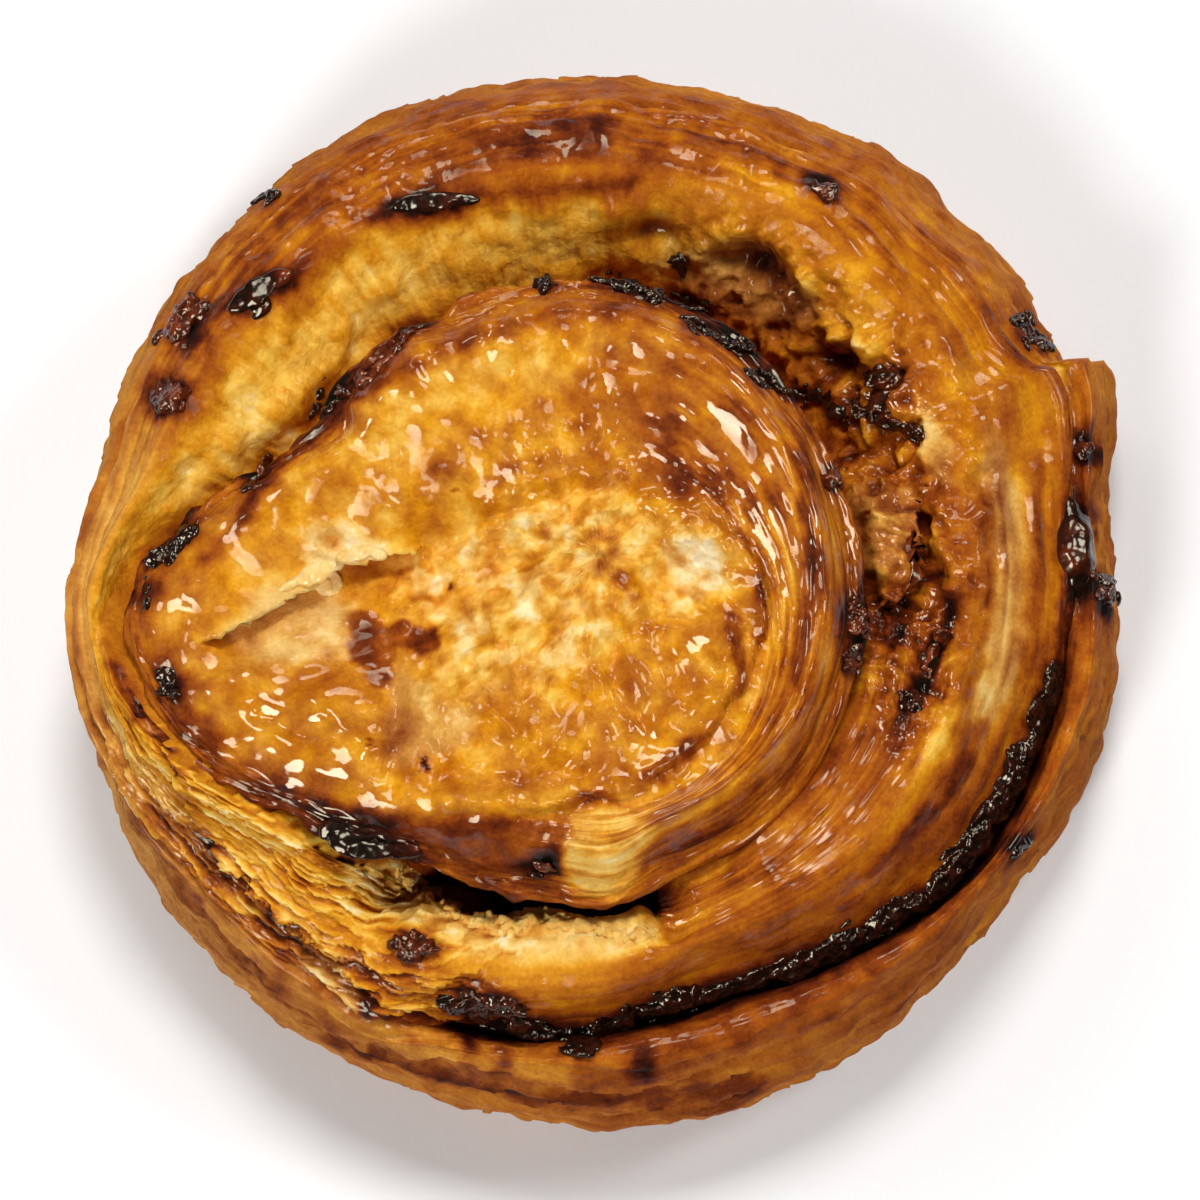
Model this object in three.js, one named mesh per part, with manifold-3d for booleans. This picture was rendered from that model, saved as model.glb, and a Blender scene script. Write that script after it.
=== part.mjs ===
// A round danish swirl: one strip of laminated dough, rolled up with a dark caramelised filling.
// Millimetres, +Z up. The origin is the middle of the flat base.
//
// Places on the pastry are polar. The angle is in degrees, clockwise as seen from above, and 0 is
// the right-hand side: 90 is the front, 180 the left and 270 the back. The roll runs the same way,
// from its loose tail at the right, once round the outside and then up into the boss in the middle.

import * as THREE from "three";
import { mergeVertices } from "three/addons/utils/BufferGeometryUtils.js";
import Module from "manifold-3d";

const wasm = await Module();
wasm.setup();

// Driving dimensions
const DIAMETER = 105;
const BOSS_HEIGHT = 36;
const TURN_HEIGHT = 28;
const WRAP_HEIGHT = 22;
const GROOVE_HEIGHT = 19.5;
const BELLY_HEIGHT = 9;
const BELLY_INSET = 0.3;
const FOOT_INSET = 3;
const HEART_DIP = 2;

// The boss: a teardrop whose tip points to the left
const BOSS_RADIUS = 27.5;
const BOSS_SWELL = { amount: 2.4, at: 131 };
const BOSS_OVAL = { amount: 1.5, at: 75 };
const BOSS_TIP = { at: 173, reach: 19, widthBefore: 38, widthPast: 22, drop: 7, dropWidth: 30 };
const CROWN_SHARE = 0.86;
const LIP_INSET = 1.1;
const LIP_DROP = 3.2;
const GROOVE_OFFSET = 1.5;
const CREASE = { share: 0.55, swing: 0.2, at: 100, depth: 0.6 };
const OPEN_CREASE = { from: 340, to: 490, soft: 50, depth: 2.6 };
const MOUTH = { at: 176, width: 14, amount: 2.5 };

// The loose tail and the seam of the outermost wrap
const TAIL = { at: -27, step: 1.8, width: 22, edge: 3 };
const WRAP_THICKNESS = 6.6;
const WRAP_PINCH = { at: 72, width: 24, amount: 3.2 };
const WRAP_AT_TAIL = { amount: 3.8, before: -5, over: 22, width: 30 };
const WRAP_END = 174;

// Places where the outline, the groove and the crests rise (+) or fall (-): centre, width, amount
const OUTLINE_BULGES = [
  { at: 304, width: 7, amount: 1.2 },
  { at: 321, width: 6, amount: 1.0 },
  { at: 240, width: 25, amount: 0.9 },
  { at: 38, width: 22, amount: -2.3 },
];
const OUTLINE_WAVES = [
  { count: 5, phase: 0.6, amount: 0.15 },
  { count: 9, phase: 0, amount: 0.12 },
];
const GROOVE_FEATURES = [
  { at: 292, width: 32, amount: -5 },
  { at: 355, width: 24, amount: -4 },
  { at: 101, width: 17, amount: -10 },
  { at: 54, width: 24, amount: 5.5 },
  { at: 148, width: 20, amount: 2.5 },
];
const CROWN_FEATURES = [{ at: 60, width: 50, amount: -1.5 }];
const LIP_FEATURES = [{ at: 60, width: 40, amount: -1.5 }];
const CREST_FEATURES = [
  { at: 145, width: 45, amount: -4.5 },
  { at: 100, width: 30, amount: -1.5 },
];
const CREST_SHARE = 0.5;
const CREST_SHIFTS = [
  { at: 140, width: 40, amount: -0.12 },
  { at: 205, width: 20, amount: 0.14 },
];
const SHOULDER = { share: 0.52, drop: 3.2, dip: 2.6, wallShare: 0.42, wallDrop: 6.5, edgeShare: 0.92 };

// The filling, along the roll: its angles run on past 360 as the roll does
const FILLING_THICKNESS = 1.6;
const FILLING_FOOT = 4;
const FILLING_START = -22;
const FILLING_END = 800;
const ONTO_BOSS = { from: 168, over: 22, offset: 1.9, lean: 2 };
const INTO_CREASE = { from: 515, over: 42 };
const SLIT = { from: 440, to: 484, soft: 10, filling: 4 };
const CLEARANCE = 0.35;

// Stretches where the filling oozed out and burnt, with the clumps that stand on them
const BURNT_STRETCHES = [
  { from: -12, to: -3, count: 2, size: 3.0 },
  { from: 4, to: 108, count: 16, size: 2.0 },
  { from: 188, to: 238, count: 7, size: 1.9 },
  { from: 278, to: 334, count: 9, size: 2.3 },
  { from: 487, to: 499, count: 2, size: 2.4 },
];
const OOZE = { height: 0.6, width: 1.4, depth: 2.5, soft: 8 };

// Burnt crusts that stand on the dough: angle, radius, size
const BURNT_CRUSTS = [
  [206, 46.5, 3.2],
  [213, 48.5, 2.8],
  [225, 43.5, 3.0],
  [247, 41.5, 2.6],
  [262, 41, 1.9],
  [268, 41, 1.7],
  [298, 45.5, 2.1],
  [311, 42, 2.0],
  [325, 34, 3.2],
  [327, 49.5, 3.0],
  [342, 50.3, 2.3],
  [359, 51, 2.6],
  [118, 39.5, 2.4],
  [232, 51.5, 2.6],
];
const LUMP = { flatness: 0.7, width: 0.7, crags: 0.3, sunk: 0.3, leastSize: 0.8, mostSize: 1.15 };
const SEED = 7;

// Fineness of the faceted solids
const SECTORS = 96;
const RINGS_BETWEEN_KEYS = [4, 4, 2, 2, 4, 3, 2, 4];
const WALL_RINGS = 3;
const BASE_RINGS = 2;
const FILLING_STEPS = 96;

const DEG = Math.PI / 180;

// The turn from one angle to another, from -180 to 180 degrees.
const turnFrom = (from, to) => ((((to - from + 180) % 360) + 360) % 360) - 180;

// 1 at an angle, falling off smoothly on both sides.
const bump = (angle, at, width) => Math.exp(-((turnFrom(at, angle) / width) ** 2));

const sumOf = (features, angle) =>
  features.reduce((total, { at, width, amount }) => total + amount * bump(angle, at, width), 0);

const smooth = (u) => {
  const c = Math.min(1, Math.max(0, u));
  return c * c * (3 - 2 * c);
};

const mix = (a, b, u) => a + (b - a) * u;

// 1 inside a range of angles and 0 outside it, with soft ends.
function span(angle, from, to, soft) {
  const past = turnFrom(from, angle);
  const along = past < -soft ? past + 360 : past;
  return smooth(along / soft + 0.5) * smooth((to - from - along) / soft + 0.5);
}

// Where the edges of the turns run, as radii

// The widest line of the pastry, with the step of the loose tail at the right.
function bellyRadius(angle) {
  const past = smooth(turnFrom(TAIL.at, angle) / TAIL.edge + 0.5);
  const tail = TAIL.step * past * bump(angle, TAIL.at, TAIL.width);
  const waver = OUTLINE_WAVES.reduce(
    (total, wave) => total + wave.amount * Math.sin(wave.count * angle * DEG + wave.phase),
    0,
  );
  return DIAMETER / 2 - BELLY_INSET + tail + sumOf(OUTLINE_BULGES, angle) + waver;
}

// The boss without its tip: a lopsided round.
function bossRound(angle) {
  const swell = BOSS_SWELL.amount * Math.cos((angle - BOSS_SWELL.at) * DEG);
  const oval = BOSS_OVAL.amount * Math.cos(2 * (angle - BOSS_OVAL.at) * DEG);
  return BOSS_RADIUS + swell + oval;
}

function bossRadius(angle) {
  const width = turnFrom(BOSS_TIP.at, angle) > 0 ? BOSS_TIP.widthPast : BOSS_TIP.widthBefore;
  return bossRound(angle) + BOSS_TIP.reach * bump(angle, BOSS_TIP.at, width);
}

// The crease inside the boss, where its rim curls over the heart of the roll.
function creaseRadius(angle) {
  return bossRound(angle) * (CREASE.share + CREASE.swing * Math.cos((angle - CREASE.at) * DEG));
}

// The seam between the outermost wrap and the turn inside it. It runs from the tail to the left.
function wrapSeamRadius(angle) {
  const near = smooth(-turnFrom(WRAP_AT_TAIL.before, angle) / WRAP_AT_TAIL.over);
  const atTail = WRAP_AT_TAIL.amount * near * bump(angle, TAIL.at, WRAP_AT_TAIL.width);
  return DIAMETER / 2 - WRAP_THICKNESS - sumOf([WRAP_PINCH], angle) + atTail;
}

// The shape along one radius: rings from the middle outwards, each with its height.
function keyRings(angle) {
  const boss = bossRadius(angle);
  const belly = bellyRadius(angle);
  const seam = wrapSeamRadius(angle);
  const seamed = span(angle, TAIL.at, WRAP_END, 10);

  const tipDrop = BOSS_TIP.drop * bump(angle, BOSS_TIP.at, BOSS_TIP.dropWidth);
  const crown = BOSS_HEIGHT - tipDrop + sumOf(CROWN_FEATURES, angle);
  const open = OPEN_CREASE.depth * span(angle, OPEN_CREASE.from, OPEN_CREASE.to, OPEN_CREASE.soft);
  const crease = crown - CREASE.depth - open - sumOf([MOUTH], angle);
  const lip = crown - LIP_DROP + sumOf(LIP_FEATURES, angle);
  const groove = GROOVE_HEIGHT + sumOf(GROOVE_FEATURES, angle);

  const crest = TURN_HEIGHT + sumOf(CREST_FEATURES, angle);
  const edge = mix(mix(boss, belly, SHOULDER.edgeShare), seam, seamed);
  const crestAt = mix(boss + GROOVE_OFFSET, edge, CREST_SHARE + sumOf(CREST_SHIFTS, angle));
  const shoulderAt = mix(mix(crestAt, belly, SHOULDER.share), seam, seamed);
  const shoulder = mix(crest - SHOULDER.drop, WRAP_HEIGHT - SHOULDER.dip, seamed);
  const wall = mix(crest - SHOULDER.wallDrop, WRAP_HEIGHT, seamed);

  return [
    { r: 0, z: BOSS_HEIGHT - HEART_DIP },
    { r: creaseRadius(angle), z: crease },
    { r: boss * CROWN_SHARE, z: crown },
    { r: boss - LIP_INSET, z: lip },
    { r: boss + GROOVE_OFFSET, z: groove },
    { r: crestAt, z: crest },
    { r: shoulderAt, z: shoulder },
    { r: mix(shoulderAt, belly, SHOULDER.wallShare), z: wall },
    { r: belly, z: BELLY_HEIGHT },
  ];
}

// The height of the upper surface between two key rings. The last stretch is a round shoulder.
function heightBetween(keys, k, u) {
  const eased = k === keys.length - 2 ? 1 - Math.sqrt(1 - u * u) : smooth(u);
  return mix(keys[k].z, keys[k + 1].z, eased);
}

// The height of the upper surface at a place.
function surfaceHeight(angle, radius) {
  const keys = keyRings(angle);
  const k = keys.findLastIndex((key) => key.r <= radius);
  if (k === keys.length - 1) return BELLY_HEIGHT;
  return heightBetween(keys, k, (radius - keys[k].r) / (keys[k + 1].r - keys[k].r));
}

const place = (angle, radius, z) =>
  new THREE.Vector3(radius * Math.cos(angle * DEG), -radius * Math.sin(angle * DEG), z);

// Closed solids from three.js geometry, and back

function solidFrom(geometry) {
  const bare = geometry.clone();
  bare.deleteAttribute("normal");
  bare.deleteAttribute("uv");
  const merged = mergeVertices(bare, 1e-3);
  const triangles = [];
  const index = merged.index.array;
  for (let i = 0; i < index.length; i += 3) {
    const [a, b, c] = [index[i], index[i + 1], index[i + 2]];
    if (a !== b && b !== c && c !== a) triangles.push(a, b, c);
  }
  const vertProperties = new Float32Array(merged.attributes.position.array);
  const triVerts = new Uint32Array(triangles);
  return new wasm.Manifold(new wasm.Mesh({ numProp: 3, vertProperties, triVerts }));
}

function geometryFrom(solid) {
  const mesh = solid.getMesh();
  const geometry = new THREE.BufferGeometry();
  geometry.setAttribute("position", new THREE.BufferAttribute(new Float32Array(mesh.vertProperties), 3));
  geometry.setIndex(new THREE.BufferAttribute(new Uint32Array(mesh.triVerts), 1));
  geometry.computeVertexNormals();
  return geometry;
}

const joined = (solids) => solids.reduce((whole, one) => whole.add(one));

const largestOf = (solid) =>
  solid.decompose().reduce((best, one) => (one.volume() > best.volume() ? one : best));

// The rolled dough, before the filling is let into it: a turned blank, shaped ring by ring.
function doughBlank() {
  const stations = [() => ({ r: 0, z: BOSS_HEIGHT - HEART_DIP })];
  RINGS_BETWEEN_KEYS.forEach((count, k) => {
    for (let ring = 1; ring <= count; ring++) {
      const u = ring / count;
      stations.push((keys) => ({ r: mix(keys[k].r, keys[k + 1].r, u), z: heightBetween(keys, k, u) }));
    }
  });
  for (let ring = WALL_RINGS - 1; ring >= 0; ring--) {
    const u = (ring / WALL_RINGS) * (Math.PI / 2);
    stations.push((keys) => ({
      r: keys.at(-1).r - FOOT_INSET * (1 - Math.sin(u)),
      z: BELLY_HEIGHT * (1 - Math.cos(u)),
    }));
  }
  for (let ring = BASE_RINGS - 1; ring >= 0; ring--) {
    stations.push((keys) => ({ r: ((keys.at(-1).r - FOOT_INSET) * ring) / BASE_RINGS, z: 0 }));
  }

  const round = stations.map((station) => station(keyRings(0)));
  const blank = new THREE.LatheGeometry(round.map(({ r, z }) => new THREE.Vector2(r, z)), SECTORS);
  const position = blank.attributes.position;
  for (let i = 0; i < position.count; i++) {
    const angle = (Math.floor(i / stations.length) % SECTORS) * (360 / SECTORS);
    const { r, z } = stations[i % stations.length](keyRings(angle));
    position.setXYZ(i, ...place(angle, r, z).toArray());
  }
  return solidFrom(blank);
}

// The line that the filling follows through the roll, seen from above: from the tail along the wrap's
// seam, then round the foot of the boss, and in at the mouth on the left along the crease.
function fillingRadius(angle) {
  const intoCrease = smooth((angle - INTO_CREASE.from) / INTO_CREASE.over);
  const outside = mix(wrapSeamRadius(angle), bossRadius(angle) + ONTO_BOSS.offset, besideBoss(angle));
  return mix(outside, creaseRadius(angle), intoCrease);
}

const besideBoss = (angle) => smooth((angle - ONTO_BOSS.from) / ONTO_BOSS.over);

const within = (angle, { from, to }, soft) =>
  smooth((angle - from) / soft + 0.5) * smooth((to - angle) / soft + 0.5);

const burntAt = (angle) => Math.max(...BURNT_STRETCHES.map((one) => within(angle, one, OOZE.soft)));

// How high the filling stands: up to the lip beside it where it is burnt, low in the open slit at the
// front, and level with the dough elsewhere.
function fillingTop(angle) {
  const radius = fillingRadius(angle);
  const level = surfaceHeight(angle, radius);
  const lip = mix(level, surfaceHeight(angle, radius - ONTO_BOSS.offset - LIP_INSET), besideBoss(angle));
  const top = mix(level, lip + OOZE.height, burntAt(angle));
  return mix(top, FILLING_FOOT + SLIT.filling, within(angle, SLIT, SLIT.soft));
}

// How far the burnt filling leans in against the flank of the boss at its top.
const leanAt = (angle) => ONTO_BOSS.lean * besideBoss(angle) * burntAt(angle);

// A ribbon along the filling's line: a straight strip, rolled up, with a bead along its burnt edges.
// The cut in the dough for it is the same ribbon, larger by the clearance and open at the top.
function fillingRibbon(grow, openTop) {
  const line = new THREE.CatmullRomCurve3(
    Array.from({ length: FILLING_STEPS + 1 }, (_, i) => {
      const angle = mix(FILLING_START, FILLING_END, i / FILLING_STEPS);
      return place(angle, fillingRadius(angle), angle);
    }),
  );
  const strip = new THREE.BoxGeometry(1, 1, 1, FILLING_STEPS, 1, 2);
  const position = strip.attributes.position;
  for (let i = 0; i < position.count; i++) {
    const along = position.getX(i) + 0.5;
    const at = line.getPoint(along);
    const ahead = line.getTangent(along).setZ(0).normalize();
    const aside = new THREE.Vector3(-ahead.y, ahead.x, 0);
    const top = fillingTop(at.z);
    const row = Math.round(position.getZ(i) * 2) + 1;
    const width = FILLING_THICKNESS + (row > 0 ? OOZE.width * burntAt(at.z) : 0) + 2 * grow;
    const outwards = position.getY(i) * width - (row > 0 ? leanAt(at.z) : 0);
    const heights = [FILLING_FOOT - grow, top - OOZE.depth - grow, openTop ? BOSS_HEIGHT + DIAMETER : top];
    const end = along < 0.001 ? -grow : along > 0.999 ? grow : 0;
    at.addScaledVector(aside, outwards).addScaledVector(ahead, end);
    position.setXYZ(i, at.x, at.y, heights[row]);
  }
  return solidFrom(strip);
}

// A craggy lump, flat and longer one way, turned anyhow about its middle at the origin.
function roughLump(size, detail) {
  const shape = new THREE.IcosahedronGeometry(size, detail);
  const position = shape.attributes.position;
  const phase = THREE.MathUtils.seededRandom() * 2 * Math.PI;
  for (let i = 0; i < position.count; i++) {
    const at = new THREE.Vector3().fromBufferAttribute(position, i);
    const crag = Math.sin((4 * at.x) / size + phase) * Math.cos((4 * (at.y - at.z)) / size - phase);
    at.multiplyScalar(1 + LUMP.crags * crag);
    position.setXYZ(i, at.x, at.y, at.z);
  }
  shape.scale(1, LUMP.width, LUMP.flatness);
  return shape.rotateZ(THREE.MathUtils.seededRandom() * Math.PI);
}

// Lumps of burnt filling along the stretches where it oozed out, each with its place.
function fillingClumps() {
  return BURNT_STRETCHES.flatMap(({ from, to, count, size }) =>
    Array.from({ length: count }, (_, i) => {
      const angle = mix(from, to, (i + 0.5) / count);
      const ownSize = size * mix(LUMP.leastSize, LUMP.mostSize, THREE.MathUtils.seededRandom());
      const radius = fillingRadius(angle) - leanAt(angle);
      const at = place(angle, radius, fillingTop(angle) - LUMP.sunk * ownSize);
      return { at, size: ownSize, shape: roughLump(ownSize, 0) };
    }),
  );
}

// One clump as a solid, its narrowest faces moved out by a gap.
function clumpSolid({ at, size, shape }, gap) {
  const nearest = size * Math.min(LUMP.flatness, LUMP.width) * (1 - LUMP.crags);
  const grown = 1 + gap / nearest;
  return solidFrom(shape.clone().scale(grown, grown, grown).translate(at.x, at.y, at.z));
}

function crustSolid([angle, radius, size]) {
  const at = place(angle, radius, surfaceHeight(angle, radius));
  return solidFrom(roughLump(size, 1).translate(at.x, at.y, at.z));
}

THREE.MathUtils.seededRandom(SEED);
const clumps = fillingClumps();
const crusts = BURNT_CRUSTS.map(crustSolid);

const filling = joined([fillingRibbon(0, false), ...clumps.map((clump) => clumpSolid(clump, 0))]);
const cut = joined([fillingRibbon(CLEARANCE, true), ...clumps.map((clump) => clumpSolid(clump, CLEARANCE))]);
const dough = largestOf(joined([doughBlank(), ...crusts]).subtract(cut));

// The two nodes, with the middle of the base at the origin

const pastry = new THREE.Group();

function addNode(name, solid, color, roughness) {
  const mesh = new THREE.Mesh(geometryFrom(solid), new THREE.MeshStandardMaterial({ color, roughness }));
  mesh.name = name;
  pastry.add(mesh);
}

addNode("dough", dough, 0xc9822f, 0.45);
addNode("filling", filling, 0x2a140c, 0.5);

const middle = new THREE.Box3().setFromObject(pastry).getCenter(new THREE.Vector3()).setZ(0);
pastry.children.forEach((mesh) => mesh.position.sub(middle));

export default pastry;
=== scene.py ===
import math
import random

import bpy
import numpy as np
from mathutils import Euler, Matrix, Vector, noise
from mathutils.bvhtree import BVHTree

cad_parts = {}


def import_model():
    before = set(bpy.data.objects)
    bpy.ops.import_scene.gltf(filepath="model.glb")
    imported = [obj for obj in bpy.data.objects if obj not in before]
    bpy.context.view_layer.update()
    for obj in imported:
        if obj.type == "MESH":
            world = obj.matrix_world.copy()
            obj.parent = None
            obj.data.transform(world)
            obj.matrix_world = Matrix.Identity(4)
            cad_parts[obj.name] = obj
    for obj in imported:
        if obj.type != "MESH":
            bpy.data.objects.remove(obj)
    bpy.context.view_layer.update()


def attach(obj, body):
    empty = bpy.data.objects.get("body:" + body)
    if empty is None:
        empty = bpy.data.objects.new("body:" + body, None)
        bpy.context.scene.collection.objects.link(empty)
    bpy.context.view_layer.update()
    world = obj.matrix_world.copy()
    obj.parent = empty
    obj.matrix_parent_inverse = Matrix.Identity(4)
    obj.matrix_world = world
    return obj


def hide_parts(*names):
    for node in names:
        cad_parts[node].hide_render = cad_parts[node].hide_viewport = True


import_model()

MM = 0.001

# Where the roll's axis stands in the frame
ROLL_CENTRE = np.array([-0.65, 0.13, 0.0])

# The view
ELEVATION = math.radians(80)
DISTANCE = 520.0
TARGET_HEIGHT = 8.0
VIEW_WIDTH = 120.0
SENSOR = 36.0
PLAN_TILT = 0.0025

# Sizes of the roll, as the solids have them
DIAMETER = 105
BOSS_HEIGHT = 36
WRAP_HEIGHT = 22
WRAP_THICKNESS = 6.6
BELLY_HEIGHT = 9
BELLY_INSET = 0.3
FOOT_INSET = 3
BOSS_RADIUS = 27.5
BOSS_TIP_REACH = 19
CREST_TO_SHOULDER = 3.2
CROWN_TO_LIP = 3.2
TAIL_STEP = 1.0
TAIL_CORNER = 3.0
SEAM_AT_TAIL = 3.8
FILLING_FOOT = 4
FILLING_THICKNESS = 1.6

# Places round the roll
TAIL_ANGLE = -25.4
WRAP_END = 112
SLIT_START = 81
SLIT_END = 121
BOSS_TIP_ANGLE = 173
FILLING_START = -22
FILLING_END = 800

# Bulges (+) and hollows (-) round the roll: height, angle and width
BELLY_SWELLS = [
    (1.2, 304, 7), (1, 321, 6), (0.9, 240, 25), (0.8, 268, 30), (-2.3, 38, 22), (-2.2, -4, 13),
    (-0.4, 90, 30), (-0.4, 180, 25),
]
BOSS_SWELLS = [(0.9, 87, 9), (1.2, 131, 7)]
CROWN_SWELLS = [(-7, BOSS_TIP_ANGLE, 30), (-1.5, 60, 50)]
LIP_SWELLS = [(-2.8, 52, 32), (-2.8, 106, 24)]
RIM_SWELLS = [(-1.0, 108, 26), (-2.0, 52, 32)]
SEAM_SWELLS = [(-3.2, 72, 24)]
SLIT_SWELLS = [(1.4, 111, 9), (-0.6, 98, 7)]
# Stretches where the boss stands out: height, start, end and soft edge
BOSS_STEPS = [(1.5, 84, 122, 14), (1.5, 210, 233, 8)]

# Heights round the roll: the floor of the groove beside the boss, and the crest of the broad turn
GROOVE_HEIGHTS = [
    (0, 27), (20, 27), (40, 28), (60, 28.5), (74, 27.5), (79, 24), (83, 9), (101, 6.5), (118, 8),
    (122, 22), (128, 28.2), (140, 28.8), (152, 28.8), (168, 26.4), (183, 22), (200, 20), (235, 19),
    (262, 18.5), (282, 16.5), (302, 16), (320, 17.5), (334, 22), (347, 26),
]
CREST_HEIGHTS = [
    (0, 28), (60, 28), (85, 27.5), (105, 26), (125, 25.5), (150, 25), (175, 25.5), (195, 27), (215, 28),
    (270, 28),
]
# How far from the boss to the edge the crest lies
CREST_SHARES = [
    (0, 0.5), (60, 0.5), (90, 0.55), (105, 0.6), (125, 0.45), (145, 0.32), (165, 0.34), (185, 0.5),
    (205, 0.62), (225, 0.54), (250, 0.5),
]


# Shaping curves

def turn_from(start, to):
    return (to - start + 180) % 360 - 180


def bump(angle, at, width):
    return np.exp(-((turn_from(at, angle) / width) ** 2))


def smooth(u):
    u = np.clip(u, 0, 1)
    return u * u * (3 - 2 * u)


def mix(a, b, u):
    return a + (b - a) * u


def bell(value, at, width):
    return np.exp(-(((value - at) / width) ** 2))


def after(value, start, soft):
    return smooth((value - start) / soft)


def before(value, end, soft):
    return smooth((end - value) / soft)


def span(angle, start, end, soft):
    """1 from a start, clockwise to an end, easing to 0 over soft edges."""
    past = turn_from(start, angle)
    along = np.where(past < -soft, past + 360, past)
    return smooth(along / soft + 0.5) * smooth((end - start - along) / soft + 0.5)


def ring(angle, table):
    """A value that eases from each angle of a table to the next, all the way round."""
    places, values = np.array(table + [(table[0][0] + 360, table[0][1])], float).T
    around = (angle - places[0]) % 360 + places[0]
    i = np.clip(np.searchsorted(places, around, side="right") - 1, 0, len(places) - 2)
    return mix(values[i], values[i + 1], smooth((around - places[i]) / (places[i + 1] - places[i])))


def noise_shift(seed):
    return Vector((seed * 7.31, seed * 3.77, seed * 5.13))


def grain(points, size, seed, octaves=3):
    """Smooth noise from about -1 to 1, with features of about a size, at each of some points."""
    shift = noise_shift(seed)
    return np.array([noise.fractal(Vector(p) / size + shift, 0.9, 2.0, octaves) for p in points.tolist()])


def ridges(points, size, seed):
    """Noise from 0 to 1 that is high along thin wandering lines."""
    return 1 - np.clip(np.abs(grain(points, size, seed, 2)) * 2.6, 0, 1)


def pits(points, size, seed, reach):
    """Round pits of about a size, at scattered places: deepest in the middle, 0 past their reach."""
    shift = noise_shift(seed)
    away = np.array([noise.voronoi(Vector(p) / size + shift)[0][0] for p in points.tolist()])
    return np.clip(reach - away, 0, 1)


def broken(field, least, contrast):
    """A glaze broken up by noise: from a least share to 1."""
    return least + (1 - least) * smooth(0.5 + contrast * field)


def zones(angle, station, table):
    """A value laid out over the roll: rings of (angle, value) pairs at some stations."""
    places = np.array([place for place, values in table])
    rings = [np.interp(angle, *zip(*values), period=360) for place, values in table]
    at = np.interp(station, places, np.arange(len(places)))
    return sum(level * np.clip(1 - np.abs(at - i), 0, 1) for i, level in enumerate(rings))


# The roll's edges, as radii and heights

def swells(angle, table):
    return sum(height * bump(angle, at, width) for height, at, width in table)


def belly_radius(angle):
    step = smooth(turn_from(TAIL_ANGLE, angle) / 1.5 + 0.5) * bump(angle, TAIL_ANGLE, 45)
    tail = (TAIL_STEP + TAIL_CORNER * bump(angle, TAIL_ANGLE, 8)) * step
    waver = 0.15 * np.sin(np.radians(5 * angle) + 0.6) + 0.12 * np.sin(np.radians(9 * angle))
    return DIAMETER / 2 - BELLY_INSET + tail + swells(angle, BELLY_SWELLS) + waver


def boss_round(angle):
    return BOSS_RADIUS + 2.4 * np.cos(np.radians(angle - 131)) + 1.5 * np.cos(np.radians(2 * (angle - 75)))


def boss_radius(angle):
    tip_width = np.where(turn_from(BOSS_TIP_ANGLE, angle) > 0, 22, 38)
    tip = BOSS_TIP_REACH * bump(angle, BOSS_TIP_ANGLE, tip_width)
    steps = sum(height * span(angle, *stretch) for height, *stretch in BOSS_STEPS)
    return boss_round(angle) + tip + swells(angle, BOSS_SWELLS) + steps


def crease_radius(angle):
    return boss_round(angle) * (0.55 + 0.2 * np.cos(np.radians(angle - 100)))


def seam_radius(angle):
    at_tail = SEAM_AT_TAIL * smooth(-turn_from(-5, angle) / 22) * bump(angle, TAIL_ANGLE, 30)
    return DIAMETER / 2 - WRAP_THICKNESS + swells(angle, SEAM_SWELLS) + at_tail


def crown_height(angle):
    return BOSS_HEIGHT + swells(angle, CROWN_SWELLS)


def lip_height(angle):
    return crown_height(angle) - CROWN_TO_LIP + swells(angle, LIP_SWELLS)


def groove_height(angle):
    return ring(angle, GROOVE_HEIGHTS)


def crest_height(angle):
    return ring(angle, CREST_HEIGHTS)


def seamed(angle):
    return span(angle, TAIL_ANGLE, WRAP_END, 12)


def seam_depth(angle):
    return span(angle, 10, 110, 18)


def crest_radius(angle):
    edge = mix(mix(boss_radius(angle), belly_radius(angle), 0.92), seam_radius(angle), seamed(angle))
    return mix(boss_radius(angle) + 1.5, edge, ring(angle, CREST_SHARES))


def shoulder_radius(angle):
    free = mix(crest_radius(angle), belly_radius(angle), 0.52)
    return mix(free, seam_radius(angle), seamed(angle))


def shoulder_height(angle):
    in_seam = WRAP_HEIGHT + 0.4 - 3 * seam_depth(angle)
    return mix(crest_height(angle) - CREST_TO_SHOULDER, in_seam, seamed(angle))


# Profiles of the dough's pieces: key points, as radius and height, from one end on the axis to the other,
# for every angle. The rings are the rows of points from each key point to the next.

def turn_profile(angle):
    """The broad turn: groove, inner slope, crest, outer slope and the near side of the seam."""
    boss, groove = boss_radius(angle), groove_height(angle)
    crest, crest_at = crest_height(angle), crest_radius(angle)
    shoulder, shoulder_at = shoulder_height(angle), shoulder_radius(angle)
    slit = span(angle, SLIT_START, SLIT_END, 6)
    gap = 1.0 + swells(angle, SLIT_SWELLS)
    slope_at = mix(mix(boss + 1.5, crest_at, 0.5), boss + gap, slit)
    slope = mix(mix(groove, crest, 0.55), crest - 2, slit)
    none = np.zeros_like(angle)
    return [
        (none, groove - 5),  # on the axis, under the boss
        (boss - 7, groove - 3),
        (boss + mix(1.5, gap - 0.4, slit), groove),  # the floor of the groove
        (slope_at, slope),  # the inner slope
        (crest_at, crest),
        (shoulder_at - 1.1, shoulder + 0.9),  # the edge over the seam
        (shoulder_at + 0.5 * (1 - seamed(angle)), shoulder - 0.3 - 2.4 * seam_depth(angle)),
        (shoulder_at - 1.5, shoulder - 4.5),  # the near side of the seam
        (none, none + FILLING_FOOT),
    ]


TURN_RINGS = [2, 9, 25, 22, 23, 14, 3, 2]
TURN_SECTORS = 960


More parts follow.
